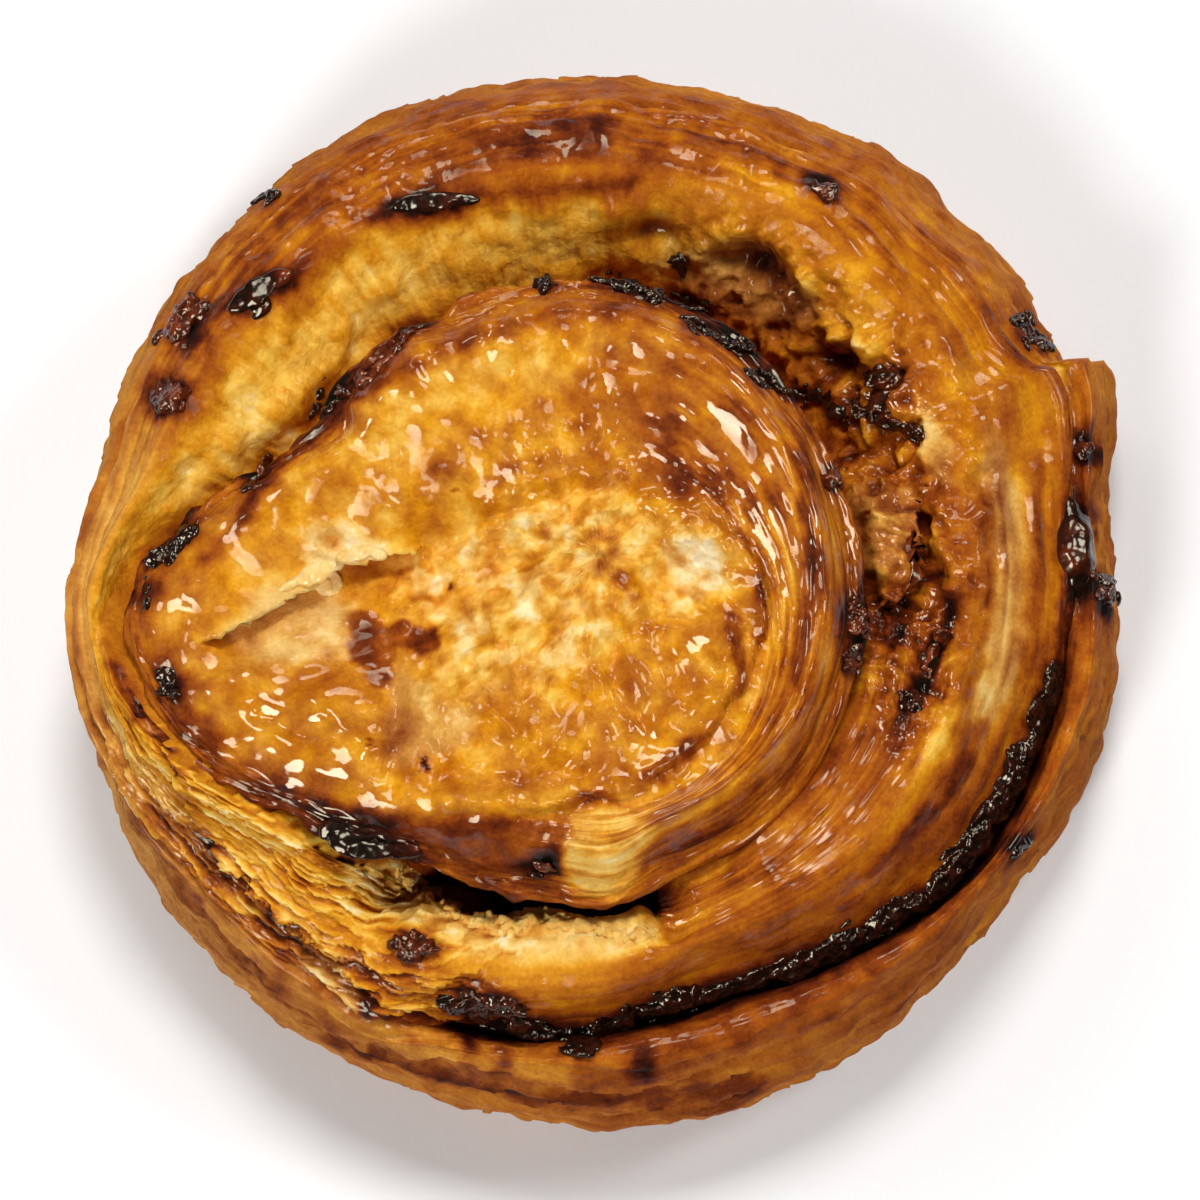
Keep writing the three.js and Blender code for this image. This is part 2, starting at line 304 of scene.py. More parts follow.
def wrap_profile(angle):
    """The outermost layer: the far side of the seam, the wrap's rounded top, the wall and the base."""
    belly, shoulder, shoulder_at = belly_radius(angle), shoulder_height(angle), shoulder_radius(angle)
    with_seam = seamed(angle)
    crest = crest_height(angle)
    none = np.zeros_like(angle)
    return [
        (none, none + 5),  # on the axis, inside the roll
        (shoulder_at - 4, none + 7),
        (shoulder_at - 0.6 * (1 - with_seam), shoulder - 1.0 - 1.8 * seam_depth(angle)),  # in the seam
        (shoulder_at + 1.1, mix(shoulder - 1.2, WRAP_HEIGHT - 0.6, with_seam)),
        (mix(shoulder_at, belly, 0.45), mix(crest - 6.5, WRAP_HEIGHT, with_seam)),  # the rounded top
        (belly - 1.1, none + 15),
        (belly, none + BELLY_HEIGHT),
        (belly - 0.9, none + 3),
        (belly - FOOT_INSET, none),  # the foot
        (none, none),
    ]


WRAP_RINGS = [2, 3, 14, 16, 22, 16, 14, 8, 2]
WRAP_SECTORS = 960


def boss_profile(angle):
    """The boss: the heart of the roll, the rim round it, the lip, and back under the lip."""
    boss, crease = boss_radius(angle), crease_radius(angle)
    crown, lip, groove = crown_height(angle), lip_height(angle), groove_height(angle)
    reach = 0.3 - 1.5 * bump(angle, BOSS_TIP_ANGLE, 14)
    none = np.zeros_like(angle)
    return [
        (none, none + BOSS_HEIGHT - 2),  # the middle of the heart
        (crease * 0.5, mix(none + BOSS_HEIGHT, crown, 0.5) - 1.6),
        (crease - 1.5, crown - 0.7),  # either side of the crease
        (crease + 1.5, crown - 0.5 - 0.6 * bump(angle, 55, 30)),
        (boss * 0.86, crown + swells(angle, RIM_SWELLS)),  # the rim
        (boss - 1.4, lip + 0.8),
        (boss + reach, lip - 0.7),  # the lip
        (boss - 1.4, lip - 3),
        (boss - 2.3, mix(groove, lip, 0.5)),
        (boss - 1.0, groove - 1.5),  # in the groove
        (none, groove - 2.5),
    ]


BOSS_RINGS = [26, 26, 10, 34, 18, 11, 9, 7, 5, 2]
BOSS_SECTORS = 640


def spline_rows(keys, counts):
    """Rows of points along a smooth line through the key points, and the key number at each row."""
    keys = np.array(keys)
    steps = np.diff(keys, axis=0)
    lengths = np.linalg.norm(steps, axis=1, keepdims=True)
    through = keys[2:] - keys[:-2]
    through /= np.linalg.norm(through, axis=1, keepdims=True) + 1e-9
    inner = through * np.minimum(lengths[:-1], lengths[1:])
    level = steps[:1] * np.array([1, 0]).reshape(1, 2, 1)
    slopes = np.concatenate([level, inner, steps[-1:]])
    rows, stations = [keys[0]], [0.0]
    for k, count in enumerate(counts):
        for u in np.arange(1, count + 1) / count:
            start = (1 + 2 * u) * (1 - u) ** 2 * keys[k] + u * (1 - u) ** 2 * slopes[k]
            end = u * u * (3 - 2 * u) * keys[k + 1] + u * u * (u - 1) * slopes[k + 1]
            rows.append(start + end)
            stations.append(k + u)
    return np.array(rows), np.array(stations)


# The plan and the marks on it

VIEW_UP = np.array([0, math.sin(ELEVATION), math.cos(ELEVATION)])
VIEW_BACK = np.array([0, -math.cos(ELEVATION), math.sin(ELEVATION)])
VIEW_TARGET = np.array([0, 0, TARGET_HEIGHT])


def plan_of(points):
    """Where points of the roll lie on the plan."""
    from_target = points - VIEW_TARGET
    scale = DISTANCE / (DISTANCE - from_target @ VIEW_BACK)
    return np.stack([from_target[:, 0] * scale, (from_target @ VIEW_UP) * scale], axis=1)


def spot(plan, x, y, long, wide, turn):
    """1 at a place on the plan, falling off over an oval turned by an angle."""
    c, s = math.cos(math.radians(turn)), math.sin(math.radians(turn))
    dx, dy = plan[:, 0] - x, plan[:, 1] - y
    return np.exp(-(((c * dx + s * dy) / long) ** 2) - (((c * dy - s * dx) / wide) ** 2))


def spots(plan, marks):
    """The sum of marks: x, y, length, width, turn and amount of each."""
    return sum(amount * spot(plan, *place) for *place, amount in marks)


def along_line(plan, corners):
    """Distance from a line on the plan, positive on its left, and the share of the line's length."""
    corners = np.array(corners, float)
    best = np.full(len(plan), 1e9)
    signed, share = np.zeros(len(plan)), np.zeros(len(plan))
    lengths = np.linalg.norm(np.diff(corners, axis=0), axis=1)
    before = np.concatenate([[0], np.cumsum(lengths)])
    for i, length in enumerate(lengths):
        step = (corners[i + 1] - corners[i]) / length
        rel = plan - corners[i]
        u = np.clip(rel @ step, 0, length)
        away = np.linalg.norm(rel - u[:, None] * step, axis=1)
        side = np.sign(step[0] * rel[:, 1] - step[1] * rel[:, 0])
        closer = away < best
        best = np.where(closer, away, best)
        signed = np.where(closer, away * side, signed)
        share = np.where(closer, (before[i] + u) / before[-1], share)
    return signed, share


def line(plan, corners, width):
    """1 along a line on the plan, falling off over a width."""
    return np.exp(-((along_line(plan, corners)[0] / width) ** 2))


def patch(plan, corners, soft):
    """1 inside a shape on the plan, easing to 0 over a soft edge."""
    corners = np.array(corners, float)
    inside = np.zeros(len(plan), bool)
    for (x0, y0), (x1, y1) in zip(corners, np.roll(corners, -1, axis=0)):
        beside = (y0 > plan[:, 1]) != (y1 > plan[:, 1])
        inside ^= beside & (plan[:, 0] < x0 + (plan[:, 1] - y0) * (x1 - x0) / (y1 - y0 + 1e-9))
    away = np.abs(along_line(plan, np.vstack([corners, corners[:1]]))[0])
    return smooth(0.5 + np.where(inside, away, -away) / (2 * soft))


def paint(level, plan, patches, lines=(), marks=()):
    """A level with patches set on it, and lines and marks added to it."""
    for amount, soft, corners in patches:
        level = mix(level, amount, patch(plan, corners, soft))
    for amount, width, corners in lines:
        level = level + amount * line(plan, corners, width)
    return level + spots(plan, marks)


# How far each part is baked, from 0, pale crumb, to 1, burnt black: rings of angles at some stations
TURN_BAKE = [
    # At stations 2.0 and 2.35, from 82 to 122 degrees, the slit's floor is near black: painted shade in the
    # deep slit
    (2.0, [(20, 0.58), (54, 0.54), (76, 0.6), (82, 0.99), (122, 0.98), (126, 0.45), (150, 0.38),
        (175, 0.42), (200, 0.3), (260, 0.34), (285, 0.5), (310, 0.56), (335, 0.58)]),
    (2.35, [(20, 0.57), (54, 0.54), (76, 0.55), (82, 0.97), (121, 0.97), (125, 0.4), (150, 0.38),
        (175, 0.38), (200, 0.26), (260, 0.28), (285, 0.46), (310, 0.52), (335, 0.56)]),
    (2.6, [(0, 0.56), (20, 0.57), (54, 0.54), (78, 0.5), (101, 0.3), (118, 0.32), (140, 0.38),
        (175, 0.34), (200, 0.2), (260, 0.22), (285, 0.42), (300, 0.46), (325, 0.5), (345, 0.56)]),
    (3.2, [(0, 0.55), (20, 0.57), (54, 0.54), (80, 0.5), (95, 0.14), (118, 0.14), (135, 0.28),
        (155, 0.36), (180, 0.28), (200, 0.18), (250, 0.2), (270, 0.28), (290, 0.36), (310, 0.42),
        (335, 0.47), (350, 0.53)]),
    (4.0, [(0, 0.46), (20, 0.52), (54, 0.54), (85, 0.5), (101, 0.34), (118, 0.34), (135, 0.34),
        (155, 0.35), (175, 0.33), (190, 0.36), (205, 0.56), (230, 0.52), (250, 0.54), (275, 0.5),
        (290, 0.44), (310, 0.46), (335, 0.46), (350, 0.44)]),
    (4.6, [(0, 0.38), (15, 0.46), (30, 0.57), (54, 0.6), (85, 0.54), (101, 0.5), (118, 0.44), (135, 0.36),
        (155, 0.35), (175, 0.32), (195, 0.34), (210, 0.5), (230, 0.58), (250, 0.6), (275, 0.58),
        (295, 0.53), (315, 0.5), (335, 0.46), (350, 0.4)]),
    (5.3, [(0, 0.48), (20, 0.56), (40, 0.64), (54, 0.67), (85, 0.66), (101, 0.6), (118, 0.5), (135, 0.42),
        (155, 0.4), (175, 0.36), (195, 0.35), (215, 0.46), (240, 0.58), (270, 0.6), (295, 0.52),
        (315, 0.52), (335, 0.5), (350, 0.46)]),
    (6.0, [(0, 0.6), (10, 0.8), (20, 0.92), (54, 0.98), (85, 0.98), (101, 0.96), (114, 0.66), (150, 0.5),
        (195, 0.42), (240, 0.55), (270, 0.58), (300, 0.5), (320, 0.5), (340, 0.52)]),
]
WRAP_BAKE = [
    (2.0, [(0, 0.6), (12, 0.85), (54, 0.98), (101, 0.96), (118, 0.6), (150, 0.5), (240, 0.56),
        (340, 0.55)]),
    (3.0, [(0, 0.5), (20, 0.58), (54, 0.66), (90, 0.62), (112, 0.48), (150, 0.4), (180, 0.37),
        (210, 0.46), (240, 0.56), (270, 0.58), (300, 0.5), (335, 0.5)]),
    (4.0, [(0, 0.5), (20, 0.53), (54, 0.59), (80, 0.59), (105, 0.51), (150, 0.38), (180, 0.33),
        (210, 0.45), (240, 0.56), (270, 0.56), (300, 0.5), (330, 0.5)]),
    (5.0, [(0, 0.5), (54, 0.55), (100, 0.54), (150, 0.43), (190, 0.4), (240, 0.5), (300, 0.5)]),
    (6.0, [(0, 0.48), (100, 0.5), (150, 0.44), (190, 0.42), (270, 0.47)]),
    (8.0, [(0, 0.56), (180, 0.54)]),
]
BOSS_BAKE = [
    (0.0, [(0, 0.27)]),
    (1.5, [(0, 0.31), (90, 0.41), (180, 0.3), (270, 0.36)]),
    (2.5, [(0, 0.4), (40, 0.42), (70, 0.43), (100, 0.42), (130, 0.4), (170, 0.34), (200, 0.33),
        (260, 0.4), (320, 0.4), (340, 0.42)]),
    (3.2, [(0, 0.47), (40, 0.5), (70, 0.5), (100, 0.42), (130, 0.41), (170, 0.35), (200, 0.32),
        (240, 0.36), (280, 0.46), (320, 0.48), (340, 0.48)]),
    (4.0, [(0, 0.49), (40, 0.5), (70, 0.5), (90, 0.45), (110, 0.44), (135, 0.42), (160, 0.38), (180, 0.4),
        (210, 0.39), (250, 0.41), (290, 0.46), (330, 0.5)]),
    (5.0, [(0, 0.51), (40, 0.52), (70, 0.51), (90, 0.5), (105, 0.62), (135, 0.6), (160, 0.5), (180, 0.48),
        (200, 0.48), (220, 0.46), (250, 0.46), (290, 0.48), (330, 0.5)]),
    (6.0, [(0, 0.6), (40, 0.58), (70, 0.56), (90, 0.52), (100, 0.62), (120, 0.74), (150, 0.66),
        (165, 0.54), (185, 0.56), (200, 0.58), (220, 0.54), (250, 0.5), (290, 0.56), (320, 0.56),
        (340, 0.58)]),
    # At station 7, from 83 to 121 degrees, the lip's underside over the slit is near black: painted shade in
    # the slit
    (7.0, [(0, 0.56), (54, 0.54), (78, 0.7), (83, 0.98), (121, 0.98), (128, 0.55), (170, 0.46),
        (200, 0.42), (280, 0.5), (330, 0.55)]),
]

# Shapes on the plan that have a finish of their own
PALE_BAND = [
    (-38, 4.5), (-31, 12), (-22.5, 19.3), (-14, 24), (-4.7, 27.5), (0, 26), (-4, 22), (-11, 19),
    (-16, 15), (-23.5, 12), (-28, 8), (-33, 4), (-37, 1),
]
HEART = [
    (-21, 4.5), (-17.7, 6.3), (-10, 8), (-4.7, 10.6), (1, 11.5), (5.7, 8), (11.8, 6.3), (12.2, 1),
    (9.2, -1.5), (3.5, -0.7), (0.5, -5), (-4.7, -10), (-9, -6.7), (-14, -11), (-17.7, -10), (-16, -6),
    (-19.5, -0.7), (-22.5, 2),
]
STRIATED = [
    (-3.2, -21.2), (0, -20.6), (3, -20.8), (5, -22.8), (3.4, -25), (3.8, -27.6), (1.2, -30),
    (-2.6, -29.6), (-3.8, -26), (-2.4, -23.5),
]
POCKET = [(-38, -2.4), (-33.3, 1.9), (-29, 2.2), (-24.7, -0.5), (-24.7, -4.6), (-29, -5.9), (-35.5, -5.9)]
CURLED_SKIN = [(-30, 4.6), (-28.6, 8.3), (-25.6, 8.4), (-21.6, 6), (-23, 4.6), (-25.4, 3.4), (-28, 1.4)]
CRUMBLY = [
    (-26, -26), (-18.4, -25.5), (-14.7, -30), (-8, -30), (-2, -30.2), (6, -31.8), (6.2, -33.9),
    (2, -35.4), (-5.6, -36.2), (-12, -35.4), (-19.5, -31.6), (-24.5, -28.6),
]
TORN_PALE = [(-31, -33.6), (-26, -35.5), (-23, -41), (-25.5, -41), (-30, -37)]
BOULDER = [(24, 10.2), (27, 12.2), (31.4, 11.2), (31.4, 6.4), (29.7, 2.3), (25.2, 3.2)]
STRIPED = [
    (38.6, 18), (40.2, 15.3), (42.3, 9.6), (42.3, 0), (41.8, -6.3), (39.9, -11.7), (37.3, -11.7),
    (39.2, -3), (39.6, 6.4), (38.6, 12.8),
]
PALE_CLEFT = [(31.7, 20), (33.4, 19.4), (35.4, 15), (35.2, 12), (33, 12.6), (32.4, 16)]

# Patches baked to a level, with the width of their soft edge
BOSS_PATCHES = [
    (0.33, 1.6, PALE_BAND),
    (0.29, 1.3, HEART),
    (0.42, 0.9, [(2, -4), (9.5, -3.5), (11, -8), (7, -11), (2, -10)]),
    (0.42, 0.7, [(-11.6, -8.5), (-8, -8.8), (-6.5, -13), (-9.5, -13.5)]),
    (0.35, 0.8, [(-15.5, -18.2), (-3, -18.4), (-3, -21.3), (-15.5, -21.3)]),
    (0.65, 0.9, [(-35, -18.4), (-25, -20.4), (-15, -21.6), (-3, -21.9), (-3, -27), (-11, -29), (-20, -27),
        (-29, -24)]),
    (0.27, 1.0, STRIATED),
    (0.27, 0.9, POCKET),
    (0.44, 1.2, [(-32.5, -8), (-24, -8), (-22.5, -13), (-24.5, -16.5), (-31, -15)]),
    # The narrow valley in the lobe: darker, painted shade in the valley
    (0.42, 0.7, [(-21.6, -8.5), (-19.6, -8.5), (-19.2, -16.5), (-21.4, -16.5)]),
    (0.28, 0.9, [(-18.6, -8), (-12.6, -8), (-12.6, -13.5), (-18.2, -13.8)]),
    (0.5, 1.6, [(12.5, -17.8), (19, -12), (23, -16), (19, -22), (12.5, -24.5)]),
    (0.15, 0.6, CURLED_SKIN),
    (0.34, 0.5, [(-24.3, 11), (-19, 11.5), (-16.6, 9.6), (-16.2, 6.5), (-19.6, 5.6), (-23.4, 7.4)]),
    (0.64, 0.5, [(-25, -1.2), (-22.4, -1.2), (-21.2, -2.6), (-19.4, -1.8), (-17, -2.4), (-16, -3.8),
        (-17.6, -5.4), (-20.6, -5), (-21.2, -8.6), (-22.6, -9), (-24, -6), (-25.2, -4)]),
    (0.6, 0.4, [(12.9, -1), (14.2, -2), (14.7, -6), (14.3, -9.8), (13.2, -9.6), (13.4, -6),
        (12.4, -3.4)]),
    (0.6, 0.5, [(10.8, -12.8), (9.4, -15.6), (5.4, -18), (3.6, -17.6), (5, -16), (8, -13.8)]),
]
TURN_PATCHES = [
    (0.2, 1.6, [(-37, 14), (-36.5, 24), (-33, 29), (-27, 33), (-22, 32), (-26, 27), (-29, 21), (-31, 15),
        (-34, 11)]),
    (0.27, 0.9, [(-41.3, -15.8), (-36.5, -17.2), (-33.6, -20.4), (-28.5, -22), (-24.4, -25.5),
        (-30.7, -25), (-35.8, -22), (-39.5, -19.7)]),
    (0.19, 0.9, CRUMBLY),
    (0.3, 0.9, TORN_PALE),
    (0.47, 0.9, BOULDER),
    # The cavity beside the boulder: its own dark red-brown, with the shade in the hollow painted in as well
    (0.57, 0.8, [(31.6, 10.2), (33.3, 8), (33.2, 1.6), (31, 0), (28.7, 0), (30.3, 3.9), (31.7, 6.4)]),
    (0.54, 0.9, [(34, 9.8), (38.6, 9.4), (39, 5.6), (37, -0.6), (34.4, 0.5), (34, 6)]),
    (0.36, 0.8, STRIPED),
    (0.3, 0.8, PALE_CLEFT),
    (0.5, 1.2, [(13.7, 35), (21.4, 29.5), (19, 26.8), (11.8, 31.3)]),
    (0.34, 1.3, [(23.3, 34.5), (29.7, 33.5), (30, 25.5), (26, 24.2), (24, 28.7)]),
    (0.54, 1.0, [(21, 26.4), (25.9, 25), (26, 22.6), (21.6, 23)]),
    (0.26, 1.4, [(-20, 36), (-6, 38), (6, 38), (12, 36.5), (10, 33.6), (0, 34.4), (-10, 33), (-18, 31)]),
]
WRAP_PATCHES = [
    (0.4, 1.2, [(-26, -41), (-15, -43.6), (-3, -46), (-3, -48), (-16, -46.4), (-27, -43)]),
    (0.22, 0.5, [(49.4, 8), (50.6, 7.6), (50.8, 3.4), (49.6, 3.4)]),
    (0.2, 0.6, [(45.6, 24.4), (47, 24), (46.8, 20.4), (45.4, 20.8)]),
]

# Lines baked darker (+) or paler (-), and their width
BOSS_LINES = [
    (0.2, 0.9, [(-39.4, 4.1), (-35.5, 8.9), (-32, 13.2), (-27.7, 17.6), (-22.5, 21), (-16, 24.9),
        (-11.6, 27.1), (-6.4, 28.8), (-0.4, 29.3), (4.8, 28.8)]),
    (0.24, 0.6, [(-1.7, -19.6), (1.4, -19.9)]),
    (-0.16, 1.0, [(17.8, 0.2), (16.5, -6.7), (14.4, -11.9), (10, -16.7), (4.8, -19.7)]),
    (0.16, 0.6, [(-10.6, 11.8), (-9.8, 13.6), (-6, 14.2)]),
    (0.14, 0.8, [(20.5, 12), (21.5, 2), (20, -8)]),
    (0.1, 1.0, [(4, -25.5), (14, -21.6), (20, -16)]),
]
TURN_LINES = [
    (0.22, 0.8, [(-48.5, -5.9), (-43.5, -13.9), (-39.6, -23.3), (-38, -26.6), (-33.6, -30.6),
        (-30.7, -33.5), (-25.3, -36.8), (-22.7, -41.9)]),
    (0.3, 1.0, [(47, 1.6), (45.7, -5), (44.4, -11)]),
    (0.16, 1.1, [(4, -27), (14, -23.6), (23, -15)]),
    (0.26, 0.8, [(35.4, 1.3), (32.9, -5.7), (30.3, -10.8)]),
    (0.1, 1.0, [(31.9, 9.4), (31.6, 4), (30.4, 0), (29.2, -3.4)]),
    (0.2, 0.8, [(37.6, 34.2), (39.9, 29.4)]),
    (0.22, 1.0, [(-24, 38.6), (-14, 40.2), (-2, 41.6), (3, 42)]),
    (0.14, 0.9, [(43.6, 14), (44, 4), (43.2, -6)]),
    (0.12, 0.8, [(27, -27), (34, -20), (38.5, -12)]),
    (-0.12, 0.8, [(22, -27), (30, -20), (35.6, -11)]),
]
WRAP_LINES = [
    (0.2, 0.7, [(-27, -43.4), (-16, -47), (-7, -49.4), (6, -49.4), (16, -48)]),
    (0.2, 0.6, [(-52, -3), (-50, -12), (-46, -22), (-39, -32), (-31, -40), (-22, -45.4)]),
    (0.14, 0.5, [(-50.5, -4), (-47, -16), (-41, -27)]),
]

# Spots baked darker (+) or left pale (-): x, y, length, width, turn, amount
TURN_MARKS = [
    (-33, 31.5, 4.6, 1.7, 28, 0.4), (-29.5, 29.6, 3, 1.6, 30, 0.24), (-41.5, 28, 2.6, 2.8, 0, 0.3),
    (-42.8, 20.8, 2.4, 2.4, 0, 0.3), (-17, 39.8, 4.0, 1.4, 5, 0.3), (-7, 46, 9, 2.2, 8, 0.1),
    (22, 41.3, 2.0, 1.3, -30, 0.3), (28.5, 32.8, 1.2, 1.7, 0, 0.3), (42.5, 27.3, 1.7, 2.8, 25, 0.4),
    (44.5, 25.5, 1.0, 1.0, 0, 0.4), (38.5, 10, 1.0, 2.0, 0, 0.2), (36, 0.5, 2.0, 1.4, 40, 0.2),
    (-18.2, -34.5, 2.8, 1.7, -25, 0.5), (-10.6, -40.4, 3.4, 2.0, -8, 0.4), (30, 43.5, 3, 1.5, -45, 0.16),
    (15, 33.6, 1.9, 1.2, -30, 0.16), (4.5, 36.8, 2.2, 1.0, 5, 0.24), (33, -15, 2.0, 4.0, -20, -0.1),
    (-39, -24.6, 1.0, 2.2, 25, 0.3), (-32.6, -31.4, 2.0, 1.0, -45, 0.3), (-23, -41.4, 0.8, 1.6, 30, 0.3),
    (-46.6, -11, 0.8, 1.4, 30, 0.3), (-42, -22, 1.4, 0.7, -30, 0.3), (34, -13, 1.4, 2.4, -25, -0.2),
    (31, 30, 3.0, 3.0, 0, 0.06), (-7, -32.6, 2.2, 0.9, 0, 0.16), (15.8, 32.8, 2.8, 1.8, -25, 0.16),
    (23.6, 24, 1.8, 1.4, -20, 0.16), (27.2, 26.4, 1.4, 1.6, 0, -0.1), (30.6, -3, 0.8, 1.2, 0, 0.2),
]
WRAP_MARKS = [
    (48.5, 15.2, 1.4, 2.0, 0, 0.4), (44, 19.5, 1.6, 0.9, -40, 0.3), (50.5, 0.8, 1.6, 2.4, 0, 0.4),
    (47.6, 5.6, 2.0, 4.6, -6, 0.6), (-34, 41.3, 1.6, 1.2, 30, 0.4), (42, -24, 2.5, 1.4, 30, 0.3),
    (-13.1, -43.8, 0.9, 1.8, 10, 0.4), (-9.9, -46, 1.1, 1.8, -10, 0.34), (4.3, -46, 1.1, 1.6, 0, 0.34),
    (-27, -38, 4, 1.2, -40, 0.14), (14, -49.6, 4, 0.9, 8, 0.1),
]
# Of these, the pale spots at (-12, 23.6), (-19.5, 18.4) and (-7.3, 24.5) on the pale band are painted
# highlights of the glaze
BOSS_MARKS = [
    (16.1, 1.2, 0.5, 1.6, 0, 0.24), (-23.6, -3, 2.4, 3.0, 0, 0.08), (9, -14.6, 3.0, 2.0, 30, 0.06),
    (9.6, 3.6, 2.0, 2.6, 20, -0.14), (-9, 5.4, 3.0, 1.6, 20, -0.1), (-4, 10, 3.0, 1.0, 20, -0.08),
    (-12, 23.6, 8, 1.5, 25, -0.06), (20.6, 12.4, 1.2, 5, 16, 0.06), (7, 12.8, 3.0, 2.5, 0, 0.26),
    (11.5, 12, 1.8, 2.4, 20, 0.18), (16.1, -2.9, 0.7, 1.0, 0, 0.3), (-30, -19.5, 6.0, 1.5, -25, 0.2),
    (-5.5, -26, 1.8, 1.4, 0, 0.3), (-43, -8, 1.5, 3.5, 20, 0.26), (-40, -12.5, 2.0, 3.0, 45, 0.22),
    (25.4, -2, 2.0, 4.0, 5, 0.3), (23.3, 12, 1.0, 1.4, 10, 0.26), (0.4, 3.6, 2.4, 1.6, -20, 0.22),
    (-19.5, 18.4, 3.4, 2.0, 35, -0.1), (-7.3, 24.5, 4, 1.5, 15, -0.05), (-16.4, 13.4, 1.6, 1.0, 40, 0.16),
    (-2, 20, 5, 3, 0, 0.08), (8, 19, 4, 4, 0, 0.06), (-12, -15, 3.0, 2.0, 20, -0.08),
    (-26.8, 6.4, 0.8, 0.7, 0, 0.3), (-23.6, 4.2, 2.2, 0.8, 10, 0.24), (-14.6, 10.9, 0.3, 0.2, 0, 0.6),
    (-22.9, -14.4, 0.25, 0.35, 0, 0.6), (-17.1, -16.2, 0.25, 0.3, 0, 0.6),
    (-14.8, 1.7, 0.35, 0.3, 0, 0.5), (-24.6, -14.2, 3, 2, 0, -0.06),
]

# What is dull and beige in place of golden, as the patches above
BOSS_DULL = [
    (0.6, 1.0, POCKET),
    (0.5, 0.8, [(-21.6, -7), (-12.6, -8), (-12.6, -13.5), (-19.2, -16.5), (-21.6, -16.5)]),
    (0.15, 1.5, [(-21, 4.5), (-10, 8), (1, 11.5), (6, 7), (0, 1), (-4, -8), (-14, -11), (-17.7, -10)]),
    (0.5, 0.6, CURLED_SKIN),
    (0.5, 0.5, [(6, 6.6), (11.4, 6), (12.4, 2), (10, 0.4), (6.6, 2)]),
    (0.25, 1.0, [(-3.2, -21.2), (3, -20.8), (5, -22.8), (3.8, -27.6), (1.2, -30), (-2.6, -29.6)]),
]
TURN_DULL = [
    (0.4, 0.9, BOULDER),
    (0.6, 0.9, STRIPED),
    (0.35, 1.2, [(-26, -26), (-18.4, -25.5), (-14.7, -30), (6, -31.8), (2, -35.4), (-12, -35.4),
        (-24.5, -28.6)]),
    (0.5, 1.2, [(13.7, 36), (22, 29.5), (19, 26.8), (4, 34)]),
    (0.5, 0.8, PALE_CLEFT),
    (0.5, 0.9, TORN_PALE),
]

# Lumps (+) and pits (-) that stand out from the roll: x, y, length, width, turn, height
TURN_LUMPS = [
    (22, 41.3, 2.4, 1.6, -30, 0.8), (28.5, 32.8, 1.6, 2.2, 0, 0.8), (15.4, 33.4, 3.0, 2.0, -30, -2.4),
    (4.5, 36.8, 2.4, 1.2, 5, -1.4), (32.2, 5.5, 1.2, 5.0, -4, -1.4), (37.5, 7.5, 1.4, 2.6, 0, 1.3),
    (23.4, 23.6, 2.3, 1.6, -20, -2.4), (27.2, 26.4, 1.5, 1.7, 0, 1.2), (20.4, 25.8, 0.9, 2.4, 25, 1.0),
    (27.6, 8, 2.6, 3.6, 0, 1.5), (36.4, 2.4, 1.2, 1.8, 0, 0.9), (30.6, -3, 0.9, 1.4, 0, 0.9),
    (10.5, 35, 2.0, 1.4, 20, 0.9), (-31, 21, 4, 2.0, 50, 0.8), (-37, 15, 3, 2, 60, 0.7),
    (24, 26, 3.2, 1.6, -40, 0.8), (33, -5.5, 1.0, 4.0, -28, -0.8), (-18.2, -34.5, 2.6, 1.6, -25, 0.6),
    (35.8, 0.4, 1.8, 1.4, 40, 0.9), (31, 29, 2.4, 3.4, 20, 0.5), (18, 25.2, 4, 1.2, -38, 0.7),
    (34, 16, 1.2, 3.4, -20, 0.7),
]
BOSS_LUMPS = [
    (25.4, -2, 1.6, 2.6, 5, 0.7), (11.5, 12, 1.6, 1.6, 0, 0.4), (-27, -15.5, 3.4, 2.4, -20, 0.8),
    (-36, -7.5, 3.4, 2.0, 10, 0.7), (-8, 25.5, 7, 1.6, 12, 0.6), (1, -24.4, 3.4, 3.2, 0, -0.6),
    (-20.5, -12.5, 1.1, 4.6, -3, -1.5), (-20.4, 8.8, 3.4, 2.2, 20, 0.7), (6.5, 3, 7.5, 5.6, 0, 0.8),
    (7.6, 2.6, 4.2, 3.4, 0, -1.9), (-2, 5.5, 4.0, 1.6, 25, 0.6), (5, -7.5, 2.6, 3.0, -20, 0.8),
    (-10, -6, 2.0, 4.0, 15, 0.7), (-13, 2.6, 3.0, 1.3, 30, 0.5), (-4, -14, 4.0, 1.6, 10, 0.6),
    (1.6, -1, 1.0, 3.4, 12, 0.6), (-15.4, -11, 2.6, 3.0, 0, 0.7), (-31.5, -2.6, 2.2, 1.7, 0, 0.6),
    (-27, -1.4, 1.9, 1.6, 0, 0.5), (-29.4, -5.4, 2.0, 1.4, 20, 0.4), (-26.6, -10.4, 2.6, 2.0, 0, 0.6),
    (-6, 0.6, 1.2, 2.6, 40, 0.5), (20.6, 12.6, 0.8, 4.6, 16, 0.9), (-15, -19.7, 6, 1.4, 0, 0.5),
    (3, 22.6, 4.6, 1.0, -12, 0.4), (15.6, 16.6, 1.0, 4, 35, 0.4),
]
BURST_BUBBLE = (-26.9, 6.5, 1.5)
